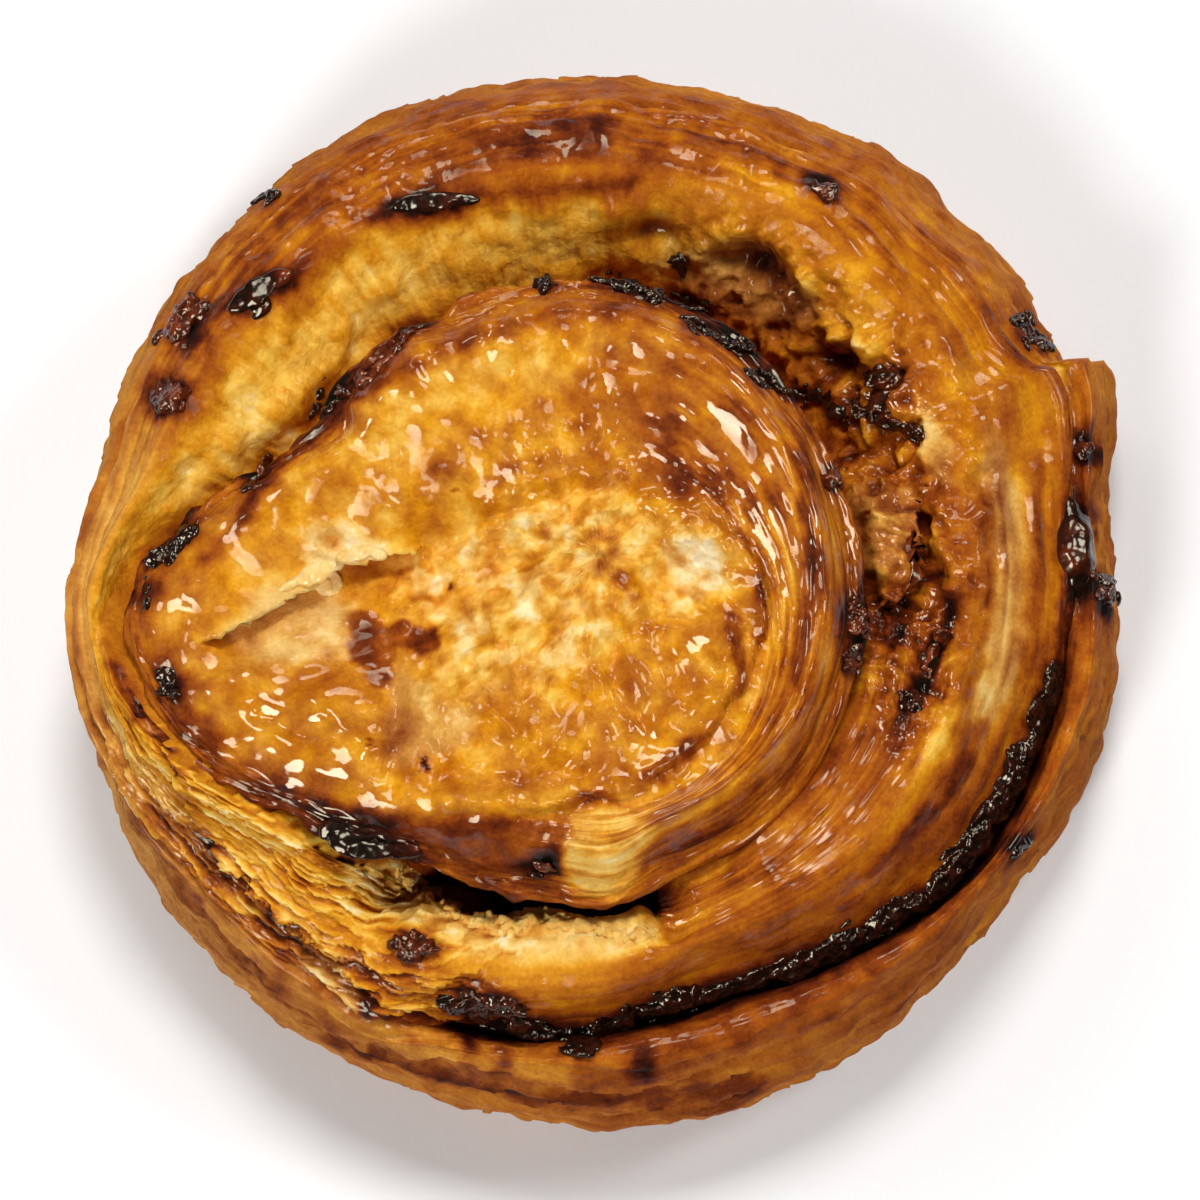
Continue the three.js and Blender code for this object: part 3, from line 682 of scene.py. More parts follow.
# Ridges (+) and creases (-) of the boss: height, width and line
BOSS_RIDGES = [
    (-1.0, 0.9, [(-17, 5.5), (-12.5, 8.2), (-8.5, 9.2), (-4.5, 10.8), (0, 11.6)]),
    (-0.9, 0.8, [(-16.5, 1.5), (-13, -1.5), (-9.5, -5), (-7.5, -8.5)]),
    (0.8, 1.1, [(-6, 1.5), (-4.2, 5.5), (-0.5, 8.8), (4.5, 9.6), (9.5, 8.6), (12.4, 5)]),
    (-0.8, 0.7, [(2.5, -2.6), (6.5, -1.5), (10.5, -1.2)]),
    (0.8, 1.0, [(-12, -9.5), (-8.5, -13.5)]),
    (0.7, 1.0, [(-17.6, -8.6), (-16.4, -13.4)]),
    (0.8, 1.1, [(13, -3.5), (12.4, -8.5), (8.5, -11.6)]),
    (-0.7, 0.8, [(1.4, -4), (1.6, -8), (4, -11.6)]),
    (0.7, 0.9, [(-30, -9.6), (-26, -11.6), (-23.4, -15.4)]),
    (-0.7, 0.9, [(-34, -11), (-29, -13.4)]),
    (0.9, 1.3, [(-15, -19.8), (-9, -20.2), (-4, -19.8)]),
    (-0.8, 0.9, [(-16, -17.4), (-8, -17.8), (-1, -16.6)]),
]
# Where the dough is craggy beside the boss, and where the glaze ran together and stays wet
RUGGED_PATCH = [
    (22, 28), (30, 30), (36, 22), (40, 10), (38.5, -4), (35, -12), (29, -15), (25.5, -8), (27, 6),
    (25, 16),
]
BOSS_WET = [
    (9.5, 10.5, 4, 4, 0, 0.7), (11, 26, 6, 2.5, -30, 0.7), (-27, -19, 8, 2.5, -22, 0.7),
    (-10, -21.6, 9, 2.2, 0, 0.7), (-12, 24, 8, 2.5, 25, 0.6), (-23, 19, 5, 2, 36, 0.5),
    (-31, 10, 4, 2, 42, 0.4), (4, -15, 7, 3, 25, 0.6), (10, -5, 3, 5, 0, 0.6), (-4, 13, 6, 3, 10, 0.3),
    (-41, -2, 3, 4, 0, 0.6), (2, 22, 7, 3, -10, 0.4), (20.6, 12.4, 1.4, 6, 16, 0.8),
    (22, -6, 1.2, 6, -14, 0.6),
]
WET_PATCH = [(-42, -5.5), (-34, -6), (-24, -9.5), (-21.5, -16), (-25, -19), (-33, -18), (-40, -11)]

# Folds on the plan, with the layer on the line's left lying over the one on its right
MOUTH_LINE = [(-40.5, -3.7), (-36.2, -1.7), (-29, 2), (-25, 4.3), (-21.5, 5.1), (-17.4, 5.9)]
HEART_EDGE = [
    (-9, -21), (-1.7, -20.2), (4.8, -18), (10, -14.1), (14.4, -8.5), (16.5, -2.4), (16.3, 1.9),
    (13.9, 6.3), (9.6, 8.7),
]
CAVITY_EDGE = [(28.6, -1), (30.2, 0.8), (31.4, 3.4), (31.8, 6.6), (31.4, 11)]
TORN_EDGE = [(-48.5, -5.9), (-43.5, -13.9), (-39.6, -23.3), (-33.6, -30.6), (-25.3, -36.8), (-20, -41)]

# Each fold's line, how far its upper layer rises, its lower one drops, the upper one hangs over and the
# lower one is tucked under, and how wide the drop is
MOUTH_FOLD = (MOUTH_LINE, 0.8, 2.6, 1.0, 0.7, 3.6)
HEART_FOLD = (HEART_EDGE, 0.7, 0.5, 0, 0, 2.4)
CAVITY_FOLD = (CAVITY_EDGE, 0.7, 2.0, 0.7, 0.6, 1.9)
TORN_FOLD = (TORN_EDGE, 0.5, 0.7, 0.4, 0.7, 2.6)
# The share of a fold's line over which it fades in and out, and how far from the line it is felt
FOLD_ENDS = 0.12
RISE_WIDTH = 3.0
HANG_WIDTH = 1.5
TUCK_WIDTH = 0.9
# How far the shade painted under a fold's upper layer reaches
SHADE_WIDTH = 1.0
EDGE_WIDTH = 1.2


def fold(points, plan, corners, rise, drop, hang, tuck, wide):
    """Lays one layer over another along a line; returns masks of painted shade under the upper layer and of
    its edge.
    """
    away, share = along_line(plan, corners)
    ends = after(share, 0, FOLD_ENDS) * before(share, 1, FOLD_ENDS)
    over, under = np.clip(away, 0, None), np.clip(-away, 0, None)
    upper = np.where(away >= 0, ends, 0)
    lower = np.where(away < 0, ends, 0)
    ahead = np.zeros((len(points), 2))
    corners = np.array(corners, float)
    for start, end in zip(corners, corners[1:]):
        middle, step = (start + end) / 2, end - start
        near = np.exp(-np.sum((plan - middle) ** 2, axis=1) / (step @ step))
        ahead += near[:, None] * np.array([step[1], -step[0]]) / np.linalg.norm(step)
    ahead /= np.linalg.norm(ahead, axis=1, keepdims=True) + 1e-9
    points[:, 2] += upper * rise * np.exp(-over / RISE_WIDTH) - lower * drop * bell(under, 0, wide)
    shift = upper * hang * np.exp(-over / HANG_WIDTH) - lower * tuck * np.exp(-under / TUCK_WIDTH)
    points[:, :2] += ahead * shift[:, None]
    return lower * bell(under, 0, SHADE_WIDTH), upper * np.exp(-over / EDGE_WIDTH)


# Burnt filling along lines on the plan: corners, number of lumps and their size
SEAM_LINE = [
    (45.6, -7), (44, -12), (40, -19.7), (34, -28.7), (25, -33.7), (14, -38.2), (4, -40.7), (-2, -43.7),
    (-14, -40),
]
LIP_LINES = [
    ([(0, 32.8), (4, 31.3), (9, 30), (11.4, 29.6)], 12, 0.9),
    ([(9, 27.6), (12, 26.6), (15, 24.9)], 10, 1.0),
    ([(15, 23.4), (18.5, 21.4), (22, 20.6), (25.6, 18.4)], 14, 1.1),
    ([(-27.5, 21.3), (-25, 21.8), (-22, 23.3), (-19.5, 26.8), (-18, 27.8)], 14, 0.8),
    ([(-30, 18.3), (-26, 20.5)], 5, 0.6),
    ([(-34.5, 11.8), (-33.5, 14.5)], 4, 0.7),
    ([(-44.5, 4.3), (-42, 6), (-41, 7.5)], 8, 1.2),
    ([(-46, 0.5), (-45, 1.5)], 2, 0.7),
]
# Burnt crusts that stand on the dough: x, y, length, width, height, turn
CRUSTS = [
    (28.6, 22.4, 2.2, 0.9, 1.1, 0), (28.5, 20.2, 1.2, 1.7, 1.2, 0), (28.8, 18.3, 1.5, 0.9, 0.9, -20),
    (31, 17.2, 1.5, 0.5, 0.6, -25), (26.4, 19.2, 1.0, 0.6, 0.7, 0), (-5.5, 31.8, 1.1, 1.0, 0.9, 0),
    (8.2, 34.2, 0.5, 0.9, 0.6, 0), (-42.2, 27.3, 2.0, 1.6, 0.8, 60), (-41, 29.5, 1.6, 1.2, 0.7, 20),
    (-42.8, 20.8, 2.2, 1.8, 0.9, 40), (-18.5, -34.2, 2.4, 1.3, 0.7, -28), (50.4, 1.2, 1.5, 2.2, 1.0, 0),
    (42.5, 27.5, 1.1, 1.9, 0.6, 22), (44.4, 25.8, 0.8, 0.7, 0.5, 0), (25.6, -1.5, 1.1, 2.2, 0.6, 5),
    (25.4, -5.5, 0.7, 1.4, 0.4, 0), (33.4, -4.8, 0.6, 2.8, 0.4, -20), (31.0, -9.8, 1.0, 0.8, 0.5, 30),
    (48.6, 15.3, 1.0, 1.5, 0.5, 0), (-5.6, -26.2, 1.5, 1.0, 0.5, 0), (42.2, -24.2, 1.6, 0.8, 0.5, 25),
    (-10, -40.3, 2.6, 1.3, 0.7, -10), (-5, -43, 2.2, 1.0, 0.7, -10), (-43.3, -8, 0.9, 1.6, 0.4, 20),
    (22.2, 41.3, 1.2, 0.7, 0.5, -30), (-34.3, 41.2, 1.4, 0.8, 0.6, 35), (23.2, 12.4, 0.7, 1.0, 0.5, 20),
]
# Burnt leaves, smooth and flat, as the crusts
LEAVES = [
    (-34.8, 30.9, 2.7, 1.4, 0.3, 34), (-32.6, 32.4, 1.8, 0.9, 0.3, 20), (-17.4, 40.1, 3.4, 1.0, 0.3, 7),
    (-13.6, 40.3, 1.6, 0.7, 0.3, 0), (-34, 29.4, 1.4, 0.9, 0.3, 60), (-23.4, -23.8, 3.8, 1.9, 0.5, 2),
    (-19.8, -24.8, 2.0, 0.9, 0.4, -8), (-26.4, -22.4, 1.8, 1.1, 0.5, 35), (47.3, 5.5, 5.0, 2.1, 1.9, 94),
]
# Where the crusts are dark red and glossy in place of black
RED_SPOTS = [
    (-42, 28.4, 3.4, 3.4, 0, 0.4), (-42.8, 20.8, 3, 3, 0, 0.36), (-18.5, -34.2, 3.2, 2.4, -28, 0.34),
    (33, -5, 1.6, 4.4, -20, 0.42), (25.5, -3, 2, 4.4, 0, 0.4), (48.6, 15.3, 2, 2, 0, 0.26),
    (29, 20, 4, 4, 0, 0.24), (23.2, 12.4, 2, 2, 0, 0.36), (-22, 23.6, 5, 4, 40, 0.46),
    (-31.4, 32.8, 2.0, 2, 20, 0.26), (47.4, 5.5, 3, 7, 0, 0.14), (-34, 13, 2, 3, 0, 0.3),
    (22.2, 41.3, 2, 2, 0, 0.3), (-10, -40.6, 4, 2, -10, 0.2), (50.4, 1.2, 2, 2.6, 0, 0.2),
    (43, 27, 2, 3, 0, 0.16), (-5.6, -26.2, 2, 2, 0, 0.3),
]


# How dark the dough is scorched, how wide beside a line and how far round a crust, in crust sizes
SCORCH = 0.26
SCORCH_WIDTH = 1.2
SCORCH_REACH = 1.1


def scorched(plan):
    """How much darker the dough is baked beside the burnt filling and round the crusts and leaves."""
    near = np.zeros(len(plan))
    for corners in [SEAM_LINE] + [corners for corners, count, size in LIP_LINES]:
        near = np.maximum(near, line(plan, corners, SCORCH_WIDTH))
    for x, y, long, wide, high, turn in CRUSTS + LEAVES:
        near = np.maximum(near, spot(plan, x, y, SCORCH_REACH * long, SCORCH_REACH * wide, turn))
    return SCORCH * near


def finish(piece, values, material):
    """Gives a piece its values, point by point, its smooth shading and its material."""
    for key, value in values.items():
        layer = piece.data.attributes.new(key, "FLOAT", "POINT")
        layer.data.foreach_set("value", np.clip(value, 0, 1).astype(np.float32))
    bpy.ops.object.shade_smooth()
    piece.data.materials.append(material)
    return piece


def closed_sheet(name, points, values, material):
    """A piece from rows of points: a flat grid laid over them and closed where its edges meet."""
    rows, columns = points.shape[:2]
    bpy.ops.object.select_all(action="DESELECT")
    bpy.ops.mesh.primitive_grid_add(x_subdivisions=columns - 1, y_subdivisions=rows - 1, size=1)
    piece = bpy.context.object
    piece.name = name
    mesh = piece.data
    mesh.vertices.foreach_set("co", ((points + ROLL_CENTRE) * MM).ravel())
    finish(piece, values, material)
    mesh.update()
    bpy.ops.object.mode_set(mode="EDIT")
    bpy.ops.mesh.select_all(action="SELECT")
    bpy.ops.mesh.remove_doubles(threshold=0.001 * MM)
    bpy.ops.mesh.normals_make_consistent(inside=False)
    bpy.ops.object.mode_set(mode="OBJECT")
    return piece


# Radii at which noise is drawn out round the roll, and the middle level of torn sheets
STREAK_RADIUS = DIAMETER / 3
STRAND_RADIUS = DIAMETER / 2.6
TORN_MIDDLE = 0.4


class Roll:
    """A closed sheet of dough rolled round the axis: its points row by row, from end to end."""

    def __init__(self, profile, counts, sectors):
        angle = np.linspace(0, 360, sectors + 1)
        rows, stations = spline_rows(profile(angle), counts)
        radius, height = rows[:, 0], rows[:, 1]
        self.shape = radius.shape
        turn = np.radians(angle)
        places = np.stack([radius * np.cos(turn), -radius * np.sin(turn), height], axis=-1)
        self.points = places.reshape(-1, 3)
        steps = np.linalg.norm(np.diff(rows, axis=0), axis=1).mean(axis=1)
        self.angle = np.broadcast_to(angle, self.shape).ravel()
        self.station = np.broadcast_to(stations[:, None], self.shape).ravel()
        self.across = np.broadcast_to(np.concatenate([[0], np.cumsum(steps)])[:, None], self.shape).ravel()
        self.plan = plan_of(self.points)
        self.places = self.points.copy()

    def grain(self, size, seed, octaves=3):
        return grain(self.places, size, seed, octaves)

    def drawn_out(self, radius, along, aside):
        """Places for noise that goes round the roll at a radius, in steps along it and aside."""
        turn = np.radians(self.angle)
        return np.stack([radius * np.cos(turn) / along, aside, radius * np.sin(turn) / along], axis=1)

    def streaks(self, across, along, seed, octaves=2, slant=0.0):
        """Noise drawn out along the rolled strip, or at a slant to it."""
        aside = (self.across + slant * STREAK_RADIUS * np.radians(self.angle)) / across
        return grain(self.drawn_out(STREAK_RADIUS, along, aside), 1.0, seed, octaves)

    def strands(self, along, across, seed):
        """Noise drawn out across the rolled strip, as torn crumb is."""
        return grain(self.drawn_out(STRAND_RADIUS, along, self.across / across), 1.0, seed, 2)

    def brushed(self, across, along, turn, seed):
        """Noise drawn out in one direction of the plan."""
        c, d = math.cos(math.radians(turn)), math.sin(math.radians(turn))
        x, y = self.plan.T
        places = np.stack([(c * x + d * y) / along, (c * y - d * x) / across, 0 * x], axis=1)
        return grain(places, 1.0, seed, 2)

    def layers(self, pitch, waver, seed):
        """Edges of laminated layers that lie over each other: rises from 0 to 1, then drops sharply."""
        phase = self.across / pitch + waver * self.streaks(pitch * 2.5, 16, seed)
        return phase - np.floor(phase)

    def flakes(self, across, along, seed):
        """Chips drawn out along the strip, each at its own level, tilted like shingles."""
        place = self.drawn_out(STRAND_RADIUS, along, self.across / across + 0.5 * self.grain(2.5, seed, 2))
        levels = np.empty(len(place))
        for i, corner in enumerate(place.tolist()):
            middle_of_chip = noise.voronoi(Vector(corner) + Vector((seed, 0, 0)))[1][0]
            levels[i] = 0.6 * noise.cell(middle_of_chip * 91.7) + corner[1] - middle_of_chip.y
        return levels

    def torn(self, size, steps, seed):
        """Torn sheets that lie over each other: a level round 0 that climbs slowly and drops sharply."""
        phase = steps * self.grain(size, seed, 2)
        share = phase - np.floor(phase)
        return np.minimum(share, 6 * (1 - share)) - TORN_MIDDLE

    def fields(self, table):
        """Every noise of a table by its name: the kind of noise, and its sizes and seed."""
        fields = {name: getattr(self, kind)(*settings) for name, (kind, *settings) in table.items()}
        return {"even": np.ones(len(self.points)), **fields}

    def stretches(self, table):
        """Masks for stretches of angle by their names: start, end and soft edge."""
        return {name: span(self.angle, *stretch) for name, stretch in table.items()}

    def band(self, start, soft_start, end, soft_end):
        """A mask for a band of stations."""
        return after(self.station, start, soft_start) * before(self.station, end, soft_end)

    def ragged_plan(self, seed, wide=0.7, fine=0.25):
        """The plan with its places shifted unevenly, so that marks have ragged edges."""
        wide_shifts = [wide * self.grain(2.6, seed + axis, 2) for axis in (0, 1)]
        fine_shifts = [fine * self.grain(0.9, seed + axis + 2, 2) for axis in (0, 1)]
        return self.plan + np.stack(wide_shifts, axis=1) + np.stack(fine_shifts, axis=1)

    def normals(self):
        points = self.points.reshape(*self.shape, 3)
        around = np.empty_like(points)
        around[:, 1:-1] = points[:, 2:] - points[:, :-2]
        around[:, 0] = around[:, -1] = points[:, 1] - points[:, -2]
        normals = np.cross(around, np.gradient(points, axis=0))
        normals /= np.linalg.norm(normals, axis=-1, keepdims=True) + 1e-9
        return normals.reshape(-1, 3)

    def level(self):
        """1 where the dough lies level, easing to less on steep walls, where the glaze ran off."""
        return 0.2 + 0.8 * smooth((np.abs(self.normals()[:, 2]) - 0.35) / 0.4)

    def raise_by(self, relief, upright=0):
        """Moves the points along their normals or, as far as they are upright, straight up."""
        relief = relief.reshape(self.shape).copy()
        relief[-1] = 0
        relief[0] = relief[0].mean() * np.mean(upright)
        ways = mix(self.normals(), np.array([0, 0, 1.0]), np.reshape(upright, (-1, 1)))
        ways /= np.linalg.norm(ways, axis=1, keepdims=True) + 1e-9
        self.points = self.points + ways * relief.reshape(-1, 1)

    def piece(self, name, relief, values, material, upright=0):
        """The roll as a piece: its relief raised, its glaze run off the walls, its foot on the floor."""
        self.raise_by(relief, upright)
        values["gloss"] = values["gloss"] * self.level()
        self.points[:, 2] = np.maximum(self.points[:, 2], 0)
        return closed_sheet(name, self.points.reshape(*self.shape, 3), values, material)


def held_back(zone, shares):
    """1, less a share of each of some zones."""
    left = 1
    for name, share in shares.items():
        left = left * (1 - share * zone[name])
    return left


def shine(bake, least, gain):
    """How glaze shines on dough: more, the darker it is baked."""
    return np.clip(least + gain * bake, 0, 1)


def textured(zone, field, table):
    """What a table of textures adds to the relief, in millimetres, and to the bake."""
    relief, bake = 0, 0
    for place, textures in table.items():
        for name, high, dark in textures:
            relief = relief + high * zone[place] * field[name]
            bake = bake + dark * zone[place] * field[name]
    return relief, bake


# The broad turn. Its noises: the kind, its sizes and its seed
TURN_NOISE = {
    "broad": ("grain", 9.0, 1, 2), "lumps": ("grain", 4.6, 2, 2), "small": ("grain", 1.6, 3, 2),
    "dapples": ("grain", 2.2, 9, 2), "crags": ("grain", 3.2, 12, 3), "knobs": ("grain", 5.0, 17, 2),
    "boulders": ("grain", 2.8, 13, 2), "crumb": ("grain", 1.2, 16, 3), "torn_crumb": ("grain", 1.1, 8, 3),
    "borders": ("grain", 2.4, 10, 3), "glaze": ("grain", 2.4, 19, 2),
    "fine_layers": ("streaks", 0.45, 12, 4), "streaks": ("streaks", 1.6, 14, 5, 3),
    "stripes": ("streaks", 0.55, 26, 21, 3),
    "fibres": ("streaks", 0.7, 2.4, 14, 3, -0.22), "strands": ("strands", 0.7, 5.0, 18),
    "sheets": ("torn", 5.0, 2.4, 20), "chips": ("flakes", 1.1, 2.6, 15),
}
CRAG_PITS = (2.6, 11, 0.5)
CRUMB_PORES = (1.7, 7, 0.5)
# Its stretches: start, end and soft edge, in degrees. Its bands of stations: each end and its soft edge.
# Its shapes on the plan: the shape and its soft edge
TURN_STRETCHES = {
    "glazed": (14, 92, 24), "frayed": (102, 166, 18), "craggy": (-74, 24, 20), "toasted": (190, 292, 18),
    "puckered": (196, 300, 25), "calm": (200, 300, 30), "slit": (76, 126, 6), "beige": (150, 195, 60),
}
INNER_SLOPE = (1.5, 0.35, 4.1, 0.7)
OUTER_SLOPE = (3.7, 0.6, 6.6, 0.4)
TURN_SHAPES = {"rugged": (RUGGED_PATCH, 2.0), "crumbly": (CRUMBLY, 1.2), "striped": (STRIPED, 1.6)}
# What roughens and browns each zone: the noise, its height and how much darker it bakes
# The pits, pores and chips rows darken the hollows they make: painted shade in the hollows
TURN_TEXTURE = {
    "seen": [("broad", 0.5, 0), ("lumps", 0.3, 0.1), ("dapples", 0, 0.07)],
    "matt": [("small", 0.22, 0)],
    "craggy": [("crags", 0.9, -0.14), ("sheets", 0.4, -0.16), ("small", 0.35, 0), ("pits", -1.1, 0.3)],
    "frayed": [("chips", 0.42, -0.26), ("fibres", 0.3, -0.16), ("even", 0, 0.02)],
    "toasted": [("knobs", 0.7, 0.1), ("crumb", 0.06, 0.04), ("strands", 0.16, 0.07)],
    "rugged": [("boulders", 1.2, -0.16), ("crumb", 0.45, -0.1), ("knobs", 0, -0.1)],
    "crumbly": [("torn_crumb", 0.35, 0), ("fine_layers", 0.3, 0), ("pores", -0.9, 0.3)],
    "smooth_glaze": [("fine_layers", 0.12, 0), ("streaks", 0.34, 0)],
    "browned": [("streaks", 0, 0.15), ("fine_layers", 0, 0.07)],
    "puckered": [("crags", 0.3, -0.1), ("crumb", 0.12, -0.05), ("even", 0, -0.02)],
    "striped": [("stripes", 0.2, 0.2)],
}
# How much the glaze is held back where the dough is frayed or calm, in its relief and in its browning
GLAZE_HELD_BACK = {"smooth_glaze": {"frayed": 1, "calm": 0.6}, "browned": {"frayed": 0.6}}
OUTER_MATT = 0.3
# How wet each zone is with glaze, the least share and the contrast of its breaks, and its shine: the least,
# and how it grows with the bake
TURN_WET = {"glazed": 0.6, "craggy": 0.4, "inner": 0.3, "rugged": 0.3}
TURN_BREAKS = (0.25, 1.4)
TURN_SHINE = (0.35, 1.5)
# How far the borders of the bake waver, how dark the shade painted under the folds' upper layers is, and how
# pale the torn edge bakes
TURN_WAVER = 0.22
TORN_SHADE = 0.14
TORN_PALING = 0.12
CAVITY_SHADE = 0.05
# How dull plain dough, its streaks and its beige stretch are
TURN_PLAIN = 0.06
TURN_STREAKS_DULL = 0.15
BEIGE_DULL = 0.45


def make_turn(material):
    """The broad turn, with its groove, its crest and its slopes."""
    roll = Roll(turn_profile, TURN_RINGS, TURN_SECTORS)
    ragged = roll.ragged_plan(61)
    torn_shade, torn_edge = fold(roll.points, ragged, *TORN_FOLD)
    cavity_shade = fold(roll.points, ragged, *CAVITY_FOLD)[0]
    stretch, field = roll.stretches(TURN_STRETCHES), roll.fields(TURN_NOISE)
    field["pits"] = pits(roll.points, *CRAG_PITS)
    field["pores"] = pits(roll.points, *CRUMB_PORES)
    inner, outer = roll.band(*INNER_SLOPE), roll.band(*OUTER_SLOPE)
    seen = np.clip(inner + outer, 0, 1)
    glazed = outer + inner * stretch["glazed"]
    frayed = stretch["frayed"] * seen
    shape = {name: patch(ragged, *limits) for name, limits in TURN_SHAPES.items()}
    crumbly = shape["crumbly"] * inner
    zone = {
        "seen": seen, "inner": inner, "glazed": glazed, "frayed": frayed, "crumbly": crumbly,
        "calm": stretch["calm"],
        "matt": inner * (1 - stretch["glazed"]) + OUTER_MATT * outer,
        "craggy": stretch["craggy"] * inner,
        "toasted": stretch["toasted"] * inner,
        "puckered": stretch["puckered"] * outer,
        "rugged": shape["rugged"] * seen,
        "striped": shape["striped"] * seen,
    }
    for name, shares in GLAZE_HELD_BACK.items():
        zone[name] = glazed * held_back(zone, shares)
    relief, texture = textured(zone, field, TURN_TEXTURE)
    relief = relief + spots(roll.plan, TURN_LUMPS) * seen
    borders = roll.station + TURN_WAVER * field["borders"] * (1 - stretch["slit"])
    bake = paint(zones(roll.angle, borders, TURN_BAKE), ragged, TURN_PATCHES, TURN_LINES, TURN_MARKS)
    bake = bake + texture + scorched(ragged) * seen
    # Painted shade under the torn edge and in the cavity beside the boulder
    bake = bake + TORN_SHADE * torn_shade - TORN_PALING * torn_edge + CAVITY_SHADE * cavity_shade
    dull = paint(TURN_PLAIN, ragged, TURN_DULL)
    dull = dull + outer * (TURN_STREAKS_DULL * field["streaks"] + BEIGE_DULL * stretch["beige"])
    wet = np.clip(sum(share * zone[name] for name, share in TURN_WET.items()), 0, 1)
    wet = wet * (1 - crumbly) * broken(field["glaze"], *TURN_BREAKS)
    gloss = wet * shine(bake, *TURN_SHINE)
    return roll.piece("dough_turn", relief, {"bake": bake, "gloss": gloss, "dull": dull}, material)


# The outermost layer, as the turn
WRAP_NOISE = {
    "broad": ("grain", 10.0, 41, 2), "lumps": ("grain", 4.0, 42, 2), "small": ("grain", 1.4, 43, 2),
    "dapples": ("grain", 2.4, 47, 2), "borders": ("grain", 3.0, 50, 3), "glaze": ("grain", 3.0, 49, 2),
    "fine_layers": ("streaks", 0.5, 12, 44), "streaks": ("streaks", 1.8, 16, 45, 3),
    "layers": ("layers", 2.6, 1.1, 46),
}
WRAP_STRETCHES = {"left": (95, 215, 25), "low": (70, 200, 30), "beige": (120, 185, 80)}
WRAP_SKIN = (1.9, 0.3, 8.0, 0.6)
WRAP_WALL = (3.8, 0.8, 8.0, 0.8)
# The stations between which marks show, each with its soft edge, and how much further where the wall shows
MARKS_START = (2.4, 0.4)
MARKS_END = 5.0
MARKS_END_SOFT = 0.5
MARKS_FURTHER = 1.2
# The edge of each layer, as a share of it, that bakes dark
LAYER_EDGE = 0.3
WRAP_TEXTURE = {
    "skin": [("broad", 0.35, 0), ("lumps", 0.25, 0), ("small", 0.1, 0), ("fine_layers", 0.12, 0),
             ("streaks", 0.25, 0)],
    "layered": [("layers", 0.8, 0), ("even", -0.4, 0)],
    "wall": [("lumps", 0.35, 0), ("layer_edges", 0, 0.22), ("layers", 0, -0.05), ("streaks", 0, 0.1),
             ("fine_layers", 0, 0.06), ("broad", 0, 0.05)],
    "top_skin": [("lumps", 0, 0.12), ("dapples", 0, 0.1)],
}
# How much less the skin is dappled and glazed on the wall, and how strong the wall's layers are on the skin
# at the left
WALL_UNDAPPLED = 0.6
WALL_UNGLAZED = 0.75
LEFT_LAYERS = 0.5
WRAP_WET = 0.7
WRAP_BREAKS = (0.3, 1.4)
WRAP_SHINE = (0.2, 0.9)
WRAP_WAVER = 0.25
# How dull plain dough, the wall and its streaks are
WRAP_PLAIN = 0.06
WALL_DULL = 0.18
WALL_STREAKS_DULL = 0.15


def make_wrap(material):
    """The outermost layer, with its wall and its base."""
    roll = Roll(wrap_profile, WRAP_RINGS, WRAP_SECTORS)
    ragged = roll.ragged_plan(71)
    stretch, field = roll.stretches(WRAP_STRETCHES), roll.fields(WRAP_NOISE)
    field["layer_edges"] = np.clip(LAYER_EDGE - field["layers"], 0, 1)
    skin, wall = roll.band(*WRAP_SKIN), roll.band(*WRAP_WALL)
    zone = {
        "skin": skin, "wall": wall, "top_skin": skin * (1 - WALL_UNDAPPLED * wall),
        "layered": np.clip(wall + LEFT_LAYERS * stretch["left"] * skin, 0, 1),
    }
    relief, texture = textured(zone, field, WRAP_TEXTURE)
    seen = roll.band(*MARKS_START, MARKS_END + MARKS_FURTHER * stretch["low"], MARKS_END_SOFT)
    bake = zones(roll.angle, roll.station + WRAP_WAVER * field["borders"], WRAP_BAKE)
    marked = paint(bake, ragged, WRAP_PATCHES, WRAP_LINES, WRAP_MARKS) + scorched(ragged)
    bake = mix(bake, marked, seen) + texture
    wall_dull = wall * (WALL_DULL + WALL_STREAKS_DULL * field["streaks"])
    dull = WRAP_PLAIN + wall_dull + BEIGE_DULL * stretch["beige"]
    wet = WRAP_WET * skin * (1 - WALL_UNGLAZED * wall) * broken(field["glaze"], *WRAP_BREAKS)
    gloss = wet * shine(bake, *WRAP_SHINE)
    return roll.piece("dough_wrap", relief, {"bake": bake, "gloss": gloss, "dull": dull}, material)


# The boss, as the turn
BOSS_NOISE = {
    "broad": ("grain", 8.0, 21, 2), "lumps": ("grain", 4.2, 22, 2), "folds": ("grain", 2.3, 23, 2),
    "wrinkles": ("grain", 0.9, 25, 2), "wrinkling": ("grain", 6.5, 38, 2), "crumb": ("grain", 1.5, 55, 3),
    "creases": ("streaks", 0.6, 2.2, 54), "streaks": ("streaks", 1.3, 11, 26, 3),
    "fine_streaks": ("streaks", 0.5, 8, 27), "flaps": ("torn", 6.0, 1.3, 37),
    "fibres": ("brushed", 1.3, 2.4, 38, 51), "flecks": ("grain", 2.6, 56, 3),
    "layers": ("streaks", 0.45, 3, 39), "grit": ("grain", 1.4, 34, 2),
    "blotches": ("grain", 3.2, 31, 2), "dapples": ("grain", 1.3, 36, 2), "borders": ("grain", 2.6, 52, 3),
    "swells": ("grain", 5.0, 28, 2), "nicks": ("grain", 2.4, 29, 2), "underside": ("grain", 2.0, 30, 3),
    "beige": ("grain", 3.0, 40, 2), "glaze": ("grain", 2.8, 32, 2),
    "glaze_streaks": ("streaks", 1.8, 9, 53),
}
HEART_PORES = (2.2, 35, 0.34)
HEART_RIDGES = (3.0, 24)
BOSS_STRETCHES = {"rim": (-75, 95, 40), "joined": (12, 82, 20)}
BOSS_SHAPES = {
    "pale_band": (PALE_BAND, 2.0), "lobe": (WET_PATCH, 1.6),
    "heart": (HEART, 1.5), "striated": (STRIATED, 0.5),
}
